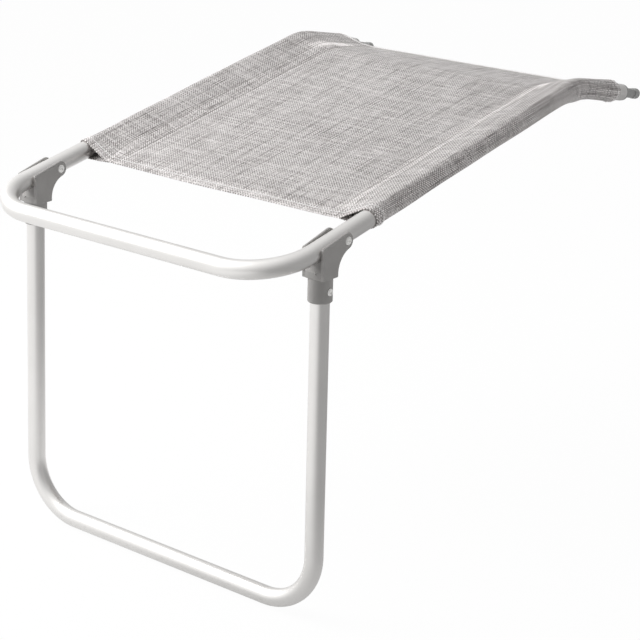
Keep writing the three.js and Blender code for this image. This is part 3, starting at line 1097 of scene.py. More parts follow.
@dataclass
class HingeBracket(Part):
    """A moulded bracket: two ears over the rail, a web and a saddle between them, and a socket for the leg.

    Its own space is leg space with x from its rail's axis.
    """

    side: Side
    crease: float = 32.0
    overlap: float = 0.0003
    ear_inner: float = 0.0114
    ear_thickness: float = 0.0036
    ear_end_radius: float = 0.0094
    nose_reach: float = 0.0148
    nose_height: float = 0.0068
    nose_rounding: float = 0.002
    foot_rounding: float = 0.0006
    foot_reach: float = 0.013
    foot_height: float = 0.004
    waist_radius: float = 0.026
    corner_radius: float = 0.0015
    sharp_edge: float = 0.0004
    end_edge: float = 0.0018
    soft_edge: float = 0.0029
    flat_margin: float = 0.0004
    evened_points: int = 5
    # How the ears' edges are painted paler, as wear and as a painted highlight.
    edge_wear_and_highlight: float = 1.3
    edge_wear_and_highlight_fade: float = 0.003
    saddle_radius: float = 0.0113
    socket_radius: float = 0.014
    core_radius: float = 0.013
    core_sunk: float = 0.001
    saddle_top: float = -0.002
    web_bulge: float = 0.10
    web_heart: Triple = (0.0, -0.006, -0.02)
    web_span: float = 0.0008
    ledge_drop: float = 0.0235
    relief_reach: float = 0.0092
    socket_drop: float = 0.06
    socket_rim: float = 0.0012
    socket_sunk: float = 0.0001
    socket_span: float = 0.0006
    seat_drop: float = 0.025
    nub_radius: float = 0.0011
    nub_drop: float = 0.025
    nub_offset: float = 0.0042
    pivot_spot_radius: float = 0.0063
    pivot_spot_depth: float = 0.0005
    shank_hole: float = 0.0033
    rivet_spot_radius: float = 0.0047
    rivet_seat: float = 0.0134
    seat_slope: float = 1.6
    # Pale lines painted along the web's ledge and the socket's rims, as wear and as a painted highlight.
    ledge_wear_and_highlight_reach: float = 0.0008
    rim_wear_and_highlight_reach: float = 0.001
    rim_wear_and_highlight: float = 0.7
    # The nub is painted pale all over as a highlight.
    nub_highlight: float = 0.9

    @property
    def pivot(self) -> Array:
        """The pivot's y and z."""
        arm = self.rails.pivot_setback - self.rails.leg_setback
        return arm * np.array([math.cos(self.rails.leg_to_rail), math.sin(self.rails.leg_to_rail)])

    @property
    def waist(self) -> Array:
        """The middle of the waist's arc, one reach away from the pivot.

        Returns:
            Its y and z.
        """
        y = self.foot_reach + self.waist_radius
        reach = self.waist_radius + self.ear_end_radius
        return np.array([y, self.pivot[1] - math.sqrt(reach**2 - (y - self.pivot[0]) ** 2)])

    @property
    def ear_drop(self) -> float:
        """How far the ears reach down from the rail's axis."""
        return self.foot_height - float(self.waist[1])

    def outline(self, span: float = 0.0005) -> tuple[Array, Array]:
        """An ear's outline in y and z: foot, waist, round end on the pivot, top edge, nose and front.

        Arcs are C + r (cos a, sin a), and the whole line is divided evenly.

        Args:
            span: The distance between its points.

        Returns:
            The points in order, (n, 2), and the rounding that the outer edge has at each, (n,).
        """
        tilt, pivot, waist, corner = self.rails.leg_to_rail, self.pivot, self.waist, self.corner_radius
        waist_turn = math.atan2(pivot[1] - waist[1], pivot[0] - waist[0])
        toe = np.array([self.foot_reach - corner, corner - self.ear_drop])
        nose_z = (self.nose_height - self.nose_reach * math.sin(tilt)) / math.cos(tilt)

        def arc(centre: Array, radius: float, start: float, end: float) -> Array:
            """Points of an arc."""
            return centre + radius * circle(np.linspace(start, end, 41))

        hip = arc(pivot, self.ear_end_radius, waist_turn - math.pi, tilt + math.pi / 2)
        front = rounded(
            [
                (*hip[-1], 0.0), (-self.nose_reach, nose_z, self.nose_rounding),
                (-self.foot_reach, -self.ear_drop, self.foot_rounding), (0.0, -self.ear_drop, 0.0),
            ]
        )
        sharp = [self.sharp_edge] * 2
        parts = [
            (arc(toe, corner, -math.pi / 2, 0.0), sharp),
            (arc(waist, self.waist_radius, math.pi, waist_turn), sharp),
            (hip, [self.sharp_edge, self.end_edge, self.end_edge]),
            (front[1:6], [self.soft_edge, self.sharp_edge]),
            (front[6:], sharp),
        ]
        line = closed(np.concatenate([points for points, _ in parts]))
        edges = [
            np.interp(np.linspace(0, 1, len(points)), np.linspace(0, 1, len(ends)), ends)
            for points, ends in parts
        ]
        walk = walked(line)
        even = np.linspace(0.0, walk[-1], int(walk[-1] / span), endpoint=False)
        return read_along(even, walk, line), np.interp(even, walk, closed(np.concatenate(edges)))

    def ear(self, inner: float, outer: float) -> list[Patch]:
        """One ear: a plate with a rounded outer edge, a hole for the pivot and a shallow seat round it.

        Round an edge of radius e the inset is e (1 - cos a) and the depth left is e (1 - sin a). The ways
        inwards are evened out over a few millimetres, so that rings don't cross at the corners.

        Args:
            inner: The x of its face on the rail.
            outer: The x of its outer face.

        Returns:
            Its patches.
        """
        line, soft = self.outline()
        inwards = left_of(unit(np.roll(line, -1, axis=0) - np.roll(line, 1, axis=0)))
        reach = self.evened_points
        inwards = sum(np.roll(inwards, k, axis=0) for k in range(-reach, reach + 1)) / (2.0 * reach + 1.0)
        sign, depth = math.copysign(1.0, outer - inner), abs(outer - inner)
        small, none = np.full_like(soft, self.sharp_edge), np.zeros_like(soft)
        quarter = np.linspace(0.0, math.pi / 2.0, 4)[::-1]
        turn = np.linspace(0.0, math.pi / 2.0, 9)
        inset = [small + self.flat_margin] + [small * (1 - math.cos(a)) for a in quarter]
        inset += [soft * (1 - math.cos(a)) for a in turn] + [soft + self.flat_margin]
        level = [none] + [small * (1 - math.sin(a)) for a in quarter]
        level += [depth - soft * (1 - math.sin(a)) for a in turn] + [depth + none]
        # Edge values paint each rounding paler, most midway round it: wear and a painted highlight.
        rub_and_highlight = [none] + [none + math.sin(2 * a) for a in quarter]
        worn = np.clip(self.edge_wear_and_highlight - soft / self.edge_wear_and_highlight_fade, 0.2, 1.0)
        rub_and_highlight += [math.sin(2 * a) * worn for a in turn] + [none]
        ring, x, wear = (
            np.concatenate([values, values[:, :1]], axis=1)
            for values in (
                line[None] + np.stack(inset)[..., None] * inwards[None],
                inner + sign * np.stack(level),
                np.stack(rub_and_highlight),
            )
        )
        rim = grid_patch(np.concatenate([x[..., None], ring], axis=2), ring, wear)
        ways = circle(np.linspace(0.0, FULL_TURN, 48, endpoint=False))
        hole, spot = self.pivot + self.shank_hole * ways, self.pivot + self.pivot_spot_radius * ways
        seat = outer - sign * self.pivot_spot_depth
        flats = [
            filled_patch(loops, np.array([[x, 0.0, 0.0], [0.0, 1.0, 0.0], [0.0, 0.0, 1.0]]))
            for x, loops in ((inner, [ring[0, :-1], hole]), (outer, [ring[-1, :-1], spot]))
        ]
        return [rim, self.wall([hole, hole, spot, spot], [inner, seat, seat, outer]), *flats]

    @staticmethod
    def wall(rings: list[Array], levels: list[float]) -> Patch:
        """A patch from ring to ring, each of them flat at its own x."""
        rows = np.stack([closed(ring) for ring in rings])
        return grid_patch(meshed(np.array(levels)[:, None], rows[..., 0], rows[..., 1]), rows)

    def saddle(self, x: Array, y: Array) -> Array:
        """The height of the saddle, which is the rail's clearance cylinder seen from below.

        With w = -sqrt(R^2 - x^2) square to the rail, z = (w + y sin a) / cos a, up to the saddle's top.

        Args:
            x: Places across, from the rail's axis.
            y: Places along.

        Returns:
            The heights.
        """
        tilt = self.rails.leg_to_rail
        square = np.sqrt(np.maximum(self.saddle_radius**2 - x**2, 0.0))
        return np.minimum((y * math.sin(tilt) - square) / math.cos(tilt), self.saddle_top)

    def front(self, height: Array) -> Array:
        """The y of the stem's front, which stands back above the web's ledge."""
        drops, reaches = (-self.ledge_drop, -self.saddle_radius), (self.foot_reach, self.relief_reach)
        return -np.interp(height, drops, reaches)

    def core(self) -> list[Patch]:
        """The column r (cos a, sin a) between the ears, cut off in front, with the rail's saddle on top.

        Returns:
            Its patches.
        """
        angle = np.linspace(0.0, FULL_TURN, 97)
        share = np.linspace(0.0, 1.0, 25)[:, None] ** 0.7
        x, y = share * self.core_radius * np.cos(angle), share * self.core_radius * np.sin(angle)
        y = np.maximum(y, self.overlap - self.relief_reach)
        fall = np.linspace(0.0, 1.0, 41)[:, None]
        height = self.saddle(x[-1], y[-1]) * (1.0 - fall) - (self.ear_drop + self.core_sunk) * fall
        rim_y = np.maximum(self.core_radius * np.sin(angle), self.front(height) + self.overlap)
        rim_y[0] = y[-1]
        side = meshed(x[-1], rim_y, height)
        floor = np.stack([side[-1] * [s, s, 1.0] for s in (1.0, 0.5, 0.0)])
        return [grid_patch(p, p[..., :2]) for p in (meshed(x, y, self.saddle(x, y)), side, floor)]

    def web(self) -> list[Patch]:
        """The web that closes the front between the ears, up to a ledge and then back to the saddle.

        It bulges forwards by the share b (1 - (x / h)^2), with h half its width.

        Returns:
            Its patches.
        """
        foot, relief, drop = self.foot_reach, self.relief_reach, self.ear_drop
        profile = self.refined(
            [
                (0.0, -drop, 0.0), (-foot, -drop, 0.0006), (-foot, -self.ledge_drop, 0.0007),
                (-relief, -self.saddle_radius, 0.002), (-relief, 0.0, 0.0), (0.0, 0.0, 0.0),
            ],
            self.web_span,
        )
        half = self.ear_inner + self.overlap
        x = np.linspace(-half, half, 31)[:, None]
        y = profile[:, 0] * (1.0 + self.web_bulge * (1.0 - (x / half) ** 2))
        points = meshed(x, y, np.minimum(profile[:, 1], self.saddle(x, y)))
        points = np.concatenate([points, points[:, :1]], axis=1)
        # A pale line painted along the ledge: wear and a painted highlight.
        rub_and_highlight = np.clip(1.0 - np.abs(points[..., 2] + self.ledge_drop) / self.ledge_wear_and_highlight_reach, 0.0, 0.6)
        caps = [
            grid_patch(np.stack([end, end * [1, 0, 0] + self.web_heart]), np.zeros((2, len(end), 2)))
            for end in points[[0, -1]]
        ]
        return [grid_patch(points, points[..., :2] + points[..., 2:], rub_and_highlight), *caps]

    def socket(self) -> Patch:
        """The socket round the leg's end, with a flat seat for each head of its rivet.

        It is a turned wall, whose points within reach of the rivet's axis are brought in to the seat.

        Returns:
            Its patch.
        """
        bore, outer, drop, rim = self.saddle_radius, self.socket_radius, self.socket_drop, self.socket_rim
        top = -self.ear_drop - self.socket_sunk
        profile = self.refined(
            [
                (0.0, -self.seat_drop, 0.0), (bore, -self.seat_drop, 0.0), (bore, -drop, 0.0003),
                (outer - rim, -drop, 0.0005), (outer, rim - drop, 0.0006), (outer, top, 0.0006),
                (0.0, top, 0.0),
            ],
            self.socket_span,
        )
        patch = turned_patch(profile, np.zeros(3), UP, 144)
        x, y, level = patch.points.T
        reach = np.hypot(y, level + self.rails.rivet_drop)
        limit = self.rivet_seat + np.maximum(reach - self.rivet_spot_radius, 0.0) * self.seat_slope
        on_wall = np.hypot(x, y) > (bore + outer) / 2.0
        x = np.where(on_wall, np.clip(x, -limit, limit), x)
        # The socket's rims are painted paler: wear and a painted highlight.
        near = np.minimum(np.abs(level + drop - rim / 2), np.abs(level + self.ear_drop))
        patch.edge = np.clip(1.0 - near / self.rim_wear_and_highlight_reach, 0.0, 1.0) * self.rim_wear_and_highlight * on_wall
        lean = self.side.value * self.rails.leg_splay
        cosine, sine = math.cos(lean), math.sin(lean)
        patch.points = meshed(x * cosine - level * sine, y, x * sine + level * cosine)
        return patch

    @staticmethod
    def refined(corners: list[Triple], span: float) -> Array:
        """A rounded line with points put between those of its legs that are longer than a span.

        Args:
            corners: The corners and their roundings.
            span: The greatest distance between points.

        Returns:
            The line's points, (n, 2).
        """
        profile = rounded(corners)
        length = np.linalg.norm(np.diff(profile, axis=0), axis=1)
        counts = np.maximum(np.ceil(length / span).astype(int), 1)
        walk = np.concatenate([np.arange(n) / n + k for k, n in enumerate(counts)] + [[float(len(counts))]])
        return read_along(walk, np.arange(len(profile)), profile)

    def nub(self) -> Patch:
        """The mould's small round mark, a ball with its middle on the front of the web, painted pale all over
        as a highlight.

        Returns:
            Its patch.
        """
        profile = self.nub_radius * circle(np.linspace(-math.pi / 2.0, math.pi / 2.0, 13))
        bulge = 1.0 + self.web_bulge * (1.0 - (self.nub_offset / self.ear_inner) ** 2)
        centre = np.array([self.side.value * self.nub_offset, -self.foot_reach * bulge, -self.nub_drop])
        patch = turned_patch(profile, centre, np.array([0.0, -1.0, 0.0]), 24)
        # Painted highlight: the whole nub takes the paler edge colour.
        patch.edge[:] = self.nub_highlight
        return patch

    def build(self) -> list[Object]:
        """Makes the bracket.

        Returns:
            The piece.
        """
        outer = self.ear_inner + self.ear_thickness
        patches = [*self.ear(self.ear_inner, outer), *self.ear(-self.ear_inner, -outer)]
        patches += [*self.core(), *self.web(), self.socket(), self.nub()]
        for patch in patches:
            patch.points = patch.points + [self.side.value * self.rails.x, 0.0, 0.0]
        return self.closed_piece(
            f"hinge_bracket_{self.side.word}", f"bracket_{self.side.word}", patches, self.finishes.bracket,
            Body.LEG, Slot.BRACKET, self.crease,
        )


@dataclass
class TubularRivet(Part):
    """A bright tubular rivet through a bracket, with two domed heads that are rolled in round an eye.

    Attributes:
        name: The piece's name.
        node: The solid that it stands for.
        centre: Its middle, in the space of its body.
        body: The body that it moves with.
        seat: The distance from its middle to the undersides of its heads.
    """

    name: str
    node: str
    centre: Array
    body: Body
    seat: float
    shank_radius: float
    head_radius: float
    head_height: float
    eye_radius: float = 0.0014
    eye_depth: float = 0.0012
    eye_taper: float = 0.8
    crown_share: float = 0.66
    rim_height: float = 0.0007

    def build(self) -> list[Object]:
        """Makes the rivet.

        Returns:
            The piece.
        """
        low, high = self.seat, self.seat + self.head_height
        eye = high - self.eye_depth
        half = rounded(
            [
                (0.0, eye, 0.0), (self.eye_radius * self.eye_taper, eye, 0.0002),
                (self.eye_radius, high, 0.0005), (self.head_radius * self.crown_share, high - 0.0001, 0.0008),
                (self.head_radius, low + self.rim_height, 0.0006), (self.head_radius, low, 0.0003),
                (self.shank_radius, low, 0.0), (self.shank_radius, 0.0, 0.0),
            ],
            5,
        )
        profile = np.concatenate([half, half[-2::-1] * [1.0, -1.0]])
        patch = turned_patch(profile, self.centre, np.array([1.0, 0.0, 0.0]))
        return self.closed_piece(self.name, self.node, [patch], self.finishes.rivet, self.body, Slot.RIVET)


@dataclass
class EndPlug(Part):
    """A moulded plug in the end of a tail: shank, collar, pin, groove and head."""

    side: Side
    sides: int = 64
    gap: float = 0.0003
    shank_length: float = 0.028
    collar_radius: float = 0.0107
    collar_length: float = 0.0047
    pin_radius: float = 0.0063
    pin_length: float = 0.021
    groove_radius: float = 0.0054
    groove_length: float = 0.007
    head_radius: float = 0.007
    head_length: float = 0.0115
    head_chamfer: float = 0.0015
    shank_chamfer: float = 0.0012
    worn_inset: float = 0.0007
    wear_reach: float = 0.0016

    def build(self) -> list[Object]:
        """Makes the plug.

        Returns:
            The piece.
        """
        shank = self.rails.tube_bore - self.gap
        collar = self.gap + self.collar_length
        pin = collar + self.pin_length
        groove = pin + self.groove_length
        tip = groove + self.head_length
        profile = rounded(
            [
                (0.0, -self.shank_length, 0.0), (shank - self.shank_chamfer, -self.shank_length, 0.0004),
                (shank, self.shank_chamfer - self.shank_length, 0.0004), (shank, self.gap, 0.0),
                (self.collar_radius, self.gap, 0.0003), (self.collar_radius, collar, 0.0012),
                (self.pin_radius, collar, 0.0008), (self.pin_radius, pin, 0.0005),
                (self.groove_radius, pin, 0.0004), (self.groove_radius, groove, 0.0004),
                (self.head_radius, groove, 0.0005), (self.head_radius, tip - self.head_chamfer, 0.0007),
                (self.head_radius - self.head_chamfer, tip, 0.0006), (0.0, tip, 0.0),
            ]
        )
        rails, word = self.rails, self.side.word
        centre = rails.over(self.side.value * rails.x, rails.tail_end, 0.0)
        axis = np.array([0.0, math.cos(rails.tail_bend), -math.sin(rails.tail_bend)])
        patch = turned_patch(profile, centre, axis, self.sides)
        radius, level = np.repeat(profile, self.sides + 1, axis=0).T
        rim = (self.head_radius - self.worn_inset, tip - self.worn_inset)
        worn = ((self.collar_radius, collar), (self.head_radius, groove), rim)
        near = np.min([np.hypot(radius - r, level - h) for r, h in worn], axis=0)
        patch.edge = np.clip(1.0 - near / self.wear_reach, 0.0, 1.0) * (level > self.gap)
        return self.closed_piece(
            f"plug_pin_{word}", f"end_plug_{word}", [patch], self.finishes.plug, Body.FRAME, Slot.PLUG
        )


@dataclass
class MeshSling(Part):
    """The sling: one cut of mesh cloth, hemmed at both ends and sewn back on itself round both rails.

    Its section across is drawn from the middle of the panel, over a rail, round it and back beneath to the
    seam, and its other half mirrors that. Its rows run along the rails, and at both ends they turn back
    underneath as hems.
    """

    thickness: float = 0.0006
    layer_pitch: float = 0.0007
    layer_gap: float = 1.06
    hem_layer_gap: float = 2.1
    rail_clearance: float = 0.0004
    setback: float = 0.1665
    bare_tail: float = 0.022
    hem: float = 0.014
    hem_line: float = 0.0115
    hem_flare: float = 0.0008
    hem_fade: float = 0.008
    fold_rows: int = 8
    strip_rows: int = 6
    close_rows: float = 0.024
    row_counts: tuple[int, int, int] = (15, 108, 52)
    seam_inset: float = 0.0385
    seam_lift: float = 0.0015
    hem_dip: float = 0.0061
    hem_ease: float = 0.05
    corner_ease: Pair = (0.0095, 0.0050)
    corner_inset: float = 0.040
    corner_span: float = 0.052
    low_tuck: float = 0.0036
    tuck_columns: int = 8
    shift_fade: float = 0.06
    band_width: float = 0.018
    band_dip: float = 0.007
    panel_sag: float = 0.001
    tail_rise: float = 0.005
    tail_fullness: float = 0.004
    tail_taut_share: float = 0.7
    tail_lift_share: float = 0.55
    bend_bridge: float = 0.0043
    bridge_width: float = 0.024
    mouth: float = 0.009
    mouth_fullness_share: float = 0.25
    panel_columns: int = 36
    band_columns: int = 9
    slope_columns: int = 14
    wrap_columns: int = 30
    smoothings: int = 2
    seed: int = 11
    wave_count: int = 7
    wave_height: float = 0.00012
    waves_along: Pair = (12.0, 60.0)
    waves_across: Pair = (-45.0, 45.0)
    facing_down: Pair = (0.3, 0.7)
    groove_depth: float = 0.00030
    groove_width: float = 0.0024
    pucker_depth: float = 0.00012
    pucker_width: float = 0.007
    pucker_pitch: float = 0.013
    pucker_drift: float = 0.11
    line_depths: tuple[float, ...] = (0.25, 1.0, 1.0, 0.25)
    hem_groove_depth: float = 0.00040
    hem_groove_width: float = 0.0020
    gather_height: float = 0.00042
    gather_counts: Pair = (8.0, 13.0)
    gather_span: Pair = (0.040, 0.004)
    stitch_pitch: float = 0.0033
    stitch_share: float = 0.48
    band_line: float = 0.9
    hem_inner_row: float = 0.9
    seam_margin: float = 0.002
    panel_samples: int = 900
    hem_samples: int = 1400
    seam_stitch: float = 0.00036
    hem_stitch: float = 0.00062
    thread_crease: float = 80.0
    # Where and how strongly a highlight is painted on the cloth beside the far seams, where they bend down
    # with the rails.
    highlight_rise: Pair = (0.420, 0.450)
    highlight_fall: Pair = (0.486, 0.524)
    highlight_middle: float = 0.466
    highlight_line: float = 0.182
    highlight_slant: float = -0.20
    highlight_width: float = 0.0062
    highlight_gain: float = 5.0
    grid: Array = field(init=False)
    normals: Array = field(init=False)
    along: Array = field(init=False)
    flat_size: Pair = field(init=False)

    @property
    def end(self) -> float:
        """The distance along the rails at which the cloth ends."""
        return self.rails.tail_end - self.bare_tail

    def tautness(self, along: Array) -> Array:
        """How much the cloth is pulled straight, from 0 on the rails to 1 at its far end."""
        return smoothstep(along, self.rails.length, self.end)

    def near_hem(self, along: Array) -> Array:
        """1 over the near hem and 0 a few millimetres past it."""
        inner = self.setback + self.hem
        return 1.0 - smoothstep(along, inner, inner + self.hem_fade)

    def hemness(self, along: Array) -> Array:
        """1 over both hems and 0 a few millimetres past them."""
        inner = self.end - self.hem
        return np.maximum(self.near_hem(along), smoothstep(along, inner - self.hem_fade, inner))

    def sleeve_radius(self, along: Array) -> Array:
        """The radius of the sleeve's round part, which is fuller on the tail and drawn in at its mouth.

        It is c + F t (1 - d (1 - m)), with t growing evenly along the tail and d from 0 to 1 at the mouth,
        and a little more over the near hem.

        Args:
            along: Distances along the rails.

        Returns:
            The radii.
        """
        close = self.rails.tube_radius + self.rail_clearance + self.thickness / 2.0
        swell = np.clip((along - self.rails.length) / (self.end - self.rails.length), 0.0, 1.0)
        drawn = smoothstep(along, self.end - self.mouth, self.end)
        full = self.tail_fullness * swell * (1.0 - drawn * (1.0 - self.mouth_fullness_share))
        return close + full + self.hem_flare * self.near_hem(along)

    def half_section(self, along: Array) -> Array:
        """The section from the middle of the panel round the rail to the end of the lower band.

        Each stretch is a straight line between two points that move with the row, but for the arc
        r (cos a, sin a) round the rail, whose ends are where lines from the seam touch it. Beneath the
        rail's bend the cloth spans the hollow, lower by b exp(-(d / w)^2) at the distance d from its middle.

        Args:
            along: Distances along the rails, (n,).

        Returns:
            The distance inwards from the rail's axis and the height over it, (n, columns, 2).
        """
        radius = self.sleeve_radius(along)
        near = 1.0 - smoothstep(along, self.setback, self.setback + self.hem_ease)
        seam = self.tail_rise * self.tautness(along) + self.seam_lift - self.hem_dip * near
        low = seam - self.layer_pitch * (self.layer_gap + self.hem_layer_gap * self.hemness(along))
        ease = 1.0 - self.tail_taut_share * self.tautness(along)
        dip, sag = self.band_dip * ease - self.hem_dip * near, self.panel_sag * ease
        reach, inset = self.seam_inset + self.band_width, np.full_like(along, self.seam_inset)

        def touch(height: Array, sign: float) -> Array:
            """The angle at which a line from the seam touches the round part."""
            return np.arctan2(height, inset) + sign * np.arccos(radius / np.hypot(inset, height))

        def line(start: Array, finish: Array, columns: int) -> Array:
            """Points of straight lines, without their last ones."""
            part = np.linspace(0.0, 1.0, columns, endpoint=False)[None, :, None]
            return start[:, None] * (1.0 - part) + finish[:, None] * part

        first, last = touch(seam, 1.0), touch(low, -1.0) + FULL_TURN
        part = np.linspace(0, 1, self.wrap_columns, endpoint=False)
        wrap = radius[:, None, None] * circle(first[:, None] + (last - first)[:, None] * part)
        share = np.linspace(0.0, 1.0, self.panel_columns, endpoint=False)
        inwards = self.rails.x + (reach - self.rails.x) * share
        panel = meshed(inwards, (seam - dip)[:, None] - sag[:, None] * (1.0 - share**2))
        top_end, top_seam = meshed(reach, seam - dip), meshed(inset, seam)
        low_end, low_seam = meshed(reach, low - dip), meshed(inset, low)
        released = radius[:, None] * circle(last)
        section = np.concatenate(
            [
                panel,
                line(top_end, top_seam, self.band_columns),
                line(top_seam, wrap[:, 0], self.slope_columns),
                wrap,
                line(released, low_seam, self.slope_columns),
                line(low_seam, low_end, self.band_columns),
                low_end[:, None],
            ],
            axis=1,
        )
        middle = self.rails.length + 0.5 * self.rails.tail_bend_radius * self.rails.tail_bend
        spare = radius - self.sleeve_radius(np.array([0.5 * self.rails.length]))
        bridge = self.bend_bridge * np.exp(-(((along - middle) / self.bridge_width) ** 2))
        under = np.clip(-section[..., 1] / radius[:, None], 0.0, 1.0)
        under = under * np.clip(2.0 - 2.0 * section[..., 0] / self.seam_inset, 0.0, 1.0)
        section[..., 1] -= (bridge - self.tail_lift_share * spare)[:, None] * under
        return section

    @property
    def marks(self) -> dict[str, int]:
        """Columns of the right half where the cloth's layers begin and end.

        Returns:
            By name, the numbers of band end, both seams and cloth edge, counted from the middle.
        """
        band = self.panel_columns
        seam = band + self.band_columns
        low_seam = seam + 2 * self.slope_columns + self.wrap_columns
        return {"band": band, "seam": seam, "low_seam": low_seam, "low_band": low_seam + self.band_columns}

    def rows(self) -> tuple[Array, Array, Array]:
        """The rows from the inner edge of the near hem, round both folds, to that of the far hem.

        Returns:
            For each row its distance along the rails, its lift from the cloth's face and the length of
            cloth up to it. Round a fold of radius f the distance is f (1 - sin a) and the lift f (cos a - 1).
        """
        fold = self.layer_pitch / 2.0
        turn = np.linspace(math.pi, 0.0, self.fold_rows)
        strip = np.linspace(self.hem, fold, self.strip_rows)[:-1]
        near = np.concatenate([strip, fold * (1.0 - np.sin(turn))])
        lift = np.concatenate([np.full(len(strip), -2.0 * fold), fold * (np.cos(turn) - 1.0)])
        ends = [self.setback + fold, self.setback + self.close_rows, self.rails.length, self.end - fold]
        spans = zip(ends, ends[1:], self.row_counts)
        flat = np.concatenate([np.linspace(low, high, count)[1:] for low, high, count in spans])[:-1]
        along = np.concatenate([self.setback + near, flat, self.end - near[::-1]])
        lifts = np.concatenate([lift, np.zeros(len(flat)), lift[::-1]])
        return along, lifts, walked(np.stack([along, lifts], axis=1))

    def ripple(self, girth: Array, along: Array, number: Array) -> Array:
        """Small waves of the cloth: a slow unevenness, puckers at stitches, and gathers at the far mouths.

        They are sums of waves A cos(k s + m u + p) with phases p from a seeded draw, faded in and out, and
        grooves -A exp(-(d / w)^2) at a distance d from a line of stitches. Where the cloth faces down, its
        grooves are turned over, so that its layers stay apart.

        Args:
            girth: Distances across the cloth, (columns,).
            along: Distances along the rails, (rows,).
            number: Column numbers, counted from the middle both ways, (columns,).

        Returns:
            The lifts, (rows, columns).
        """
        draw = np.random.default_rng(self.seed)
        u, s = girth[None, :], along[:, None]
        slow = np.zeros((len(along), len(girth)))
        for _ in range(self.wave_count):
            k, m = draw.uniform(*self.waves_along), draw.uniform(*self.waves_across)
            slow += self.wave_height * np.cos(k * s + m * u + draw.uniform(0.0, FULL_TURN))
        share = (number - self.marks["seam"] - self.slope_columns) / self.wrap_columns
        face = np.interp(share, self.facing_down, [1.0, -1.0])
        lines = np.interp(self.seam_columns(), number[len(number) // 2 :], girth[len(girth) // 2 :])
        apart = np.abs(np.abs(u)[..., None] - lines)
        drift = 2.0 * np.sin(FULL_TURN * s / self.pucker_drift) + 3.0 * np.sign(u)
        beat = np.cos(FULL_TURN * s / self.pucker_pitch + drift)
        sharp, wide = (
            (self.line_depths * np.exp(-((apart / width) ** 2))).sum(-1)
            for width in (self.groove_width, self.pucker_width)
        )
        groove = self.groove_depth * sharp + wide * (self.pucker_depth - self.pucker_depth * beat)
        for place in (self.setback + self.hem_line, self.end - self.hem_line):
            groove = groove + self.hem_groove_depth * np.exp(-(((s - place) / self.hem_groove_width) ** 2))
        mouth = smoothstep(s, *(self.end - back for back in self.gather_span))
        inside = np.clip(share, 0.0, 1.0)
        many, more = self.gather_counts
        waves = np.cos(FULL_TURN * many * inside) + 0.5 * np.cos(FULL_TURN * more * inside + 1.1)
        gather = self.gather_height * mouth * (np.sin(math.pi * inside) ** 0.5 * waves)
        return slow - face * groove + gather

    def seam_columns(self) -> list[float]:
        """The column numbers of one side's stitch lines, from the middle outwards."""
        inset = np.array([self.band_line, 0.0, 0.0, -self.band_line])
        return list(inset + list(self.marks.values()))

    def shift(self, along: Array, inset: Array, number: Array) -> Array:
        """How far the cloth stands back from the near hem's line, at the rails and in the layer beneath.

        Args:
            along: Distances along the rails, (rows,).
            inset: Distances inwards from the rail's axis, (rows, columns).
            number: Column numbers, counted from the middle both ways, (columns,).

        Returns:
            The distances to add, (rows, columns).
        """
        ease = np.where(np.arange(len(number)) < len(number) // 2, *self.corner_ease)
        rail = ease * np.clip((self.corner_inset - inset) / self.corner_span, 0.0, 1.0)
        fade = 1.0 - smoothstep(along, self.setback, self.setback + self.shift_fade)
        beneath = (number - self.marks["low_seam"]) / self.tuck_columns + 0.5
        low = self.low_tuck * np.clip(beneath, 0.0, 1.0)
        return fade[:, None] * (rail + low)

    def painted_highlight(self, girth: Array, length: Array) -> Array:
        """A painted highlight: how much lighter the cloth is painted beside the seam where it bends down with
        the rail.

        It is p exp(-(d / w)^2) at a distance d from a slanting line beside the seam, faded at both its ends.

        Args:
            girth: Distances across the cloth, (columns,).
            length: Lengths of cloth along the rows, (rows,).

        Returns:
            The painted highlight's gain in lightness, in layers of cloth, (rows, columns).
        """
        fade = smoothstep(length, *self.highlight_rise) * (1.0 - smoothstep(length, *self.highlight_fall))
        line = self.highlight_line + self.highlight_slant * (length - self.highlight_middle)
        apart = (np.abs(girth)[None] - line[:, None]) / self.highlight_width
        return self.highlight_gain * fade[:, None] * np.exp(-(apart**2))

    def shape(self) -> Patch:
        """Works out the cloth's middle surface.

        Each row is its section, evened out, with every point moved by the row's lift and the ripple along
        the normal (-y, x) of the section's way, and then laid over the rails. The flat cloth is as wide as
        the section of a row that lies straight on them.

        Returns:
            The patch, whose UV map is the flat cloth in metres. Its edge value is 1 where the cloth is
            double, and more where a highlight is painted.
        """
        along, lifts, length = self.rows()
        half = self.half_section(along)
        section = np.concatenate([half[:, :0:-1], half], axis=1)
        column = np.arange(section.shape[1])
        middle = len(column) // 2
        number, sign = np.abs(column - middle), np.where(column < middle, -1.0, 1.0)
        flat = meshed(sign * (self.rails.x - section[..., 0]), section[..., 1])
        for _ in range(self.smoothings):
            flat[:, 1:-1] = 0.25 * flat[:, :-2] + 0.5 * flat[:, 1:-1] + 0.25 * flat[:, 2:]
        walk = walked(flat[len(along) // 3])
        girth = walk - walk[middle]
        lift = lifts[:, None] + self.ripple(girth, along, number)
        placed = flat + lift[..., None] * left_of(unit(np.gradient(flat, axis=1)))
        stand = along[:, None] + self.shift(along, section[..., 0], number)
        self.along = along
        self.grid = self.rails.frame_to_row(self.rails.over(placed[..., 0], stand, placed[..., 1]))
        self.normals = unit(np.cross(np.gradient(self.grid, axis=1), np.gradient(self.grid, axis=0)))
        marks = self.marks
        double = (number >= marks["band"]) & (number <= marks["seam"]) | (number >= marks["low_seam"])
        # Double layers count one. The painted highlight beside the far seams is added on top.
        layers = np.maximum(double, self.hemness(along)[:, None]).astype(float) + self.painted_highlight(girth, length)
        self.flat_size = (float(walk[-1]), float(length[-1]))
        return grid_patch(self.grid, meshed(girth, length[:, None]), layers)

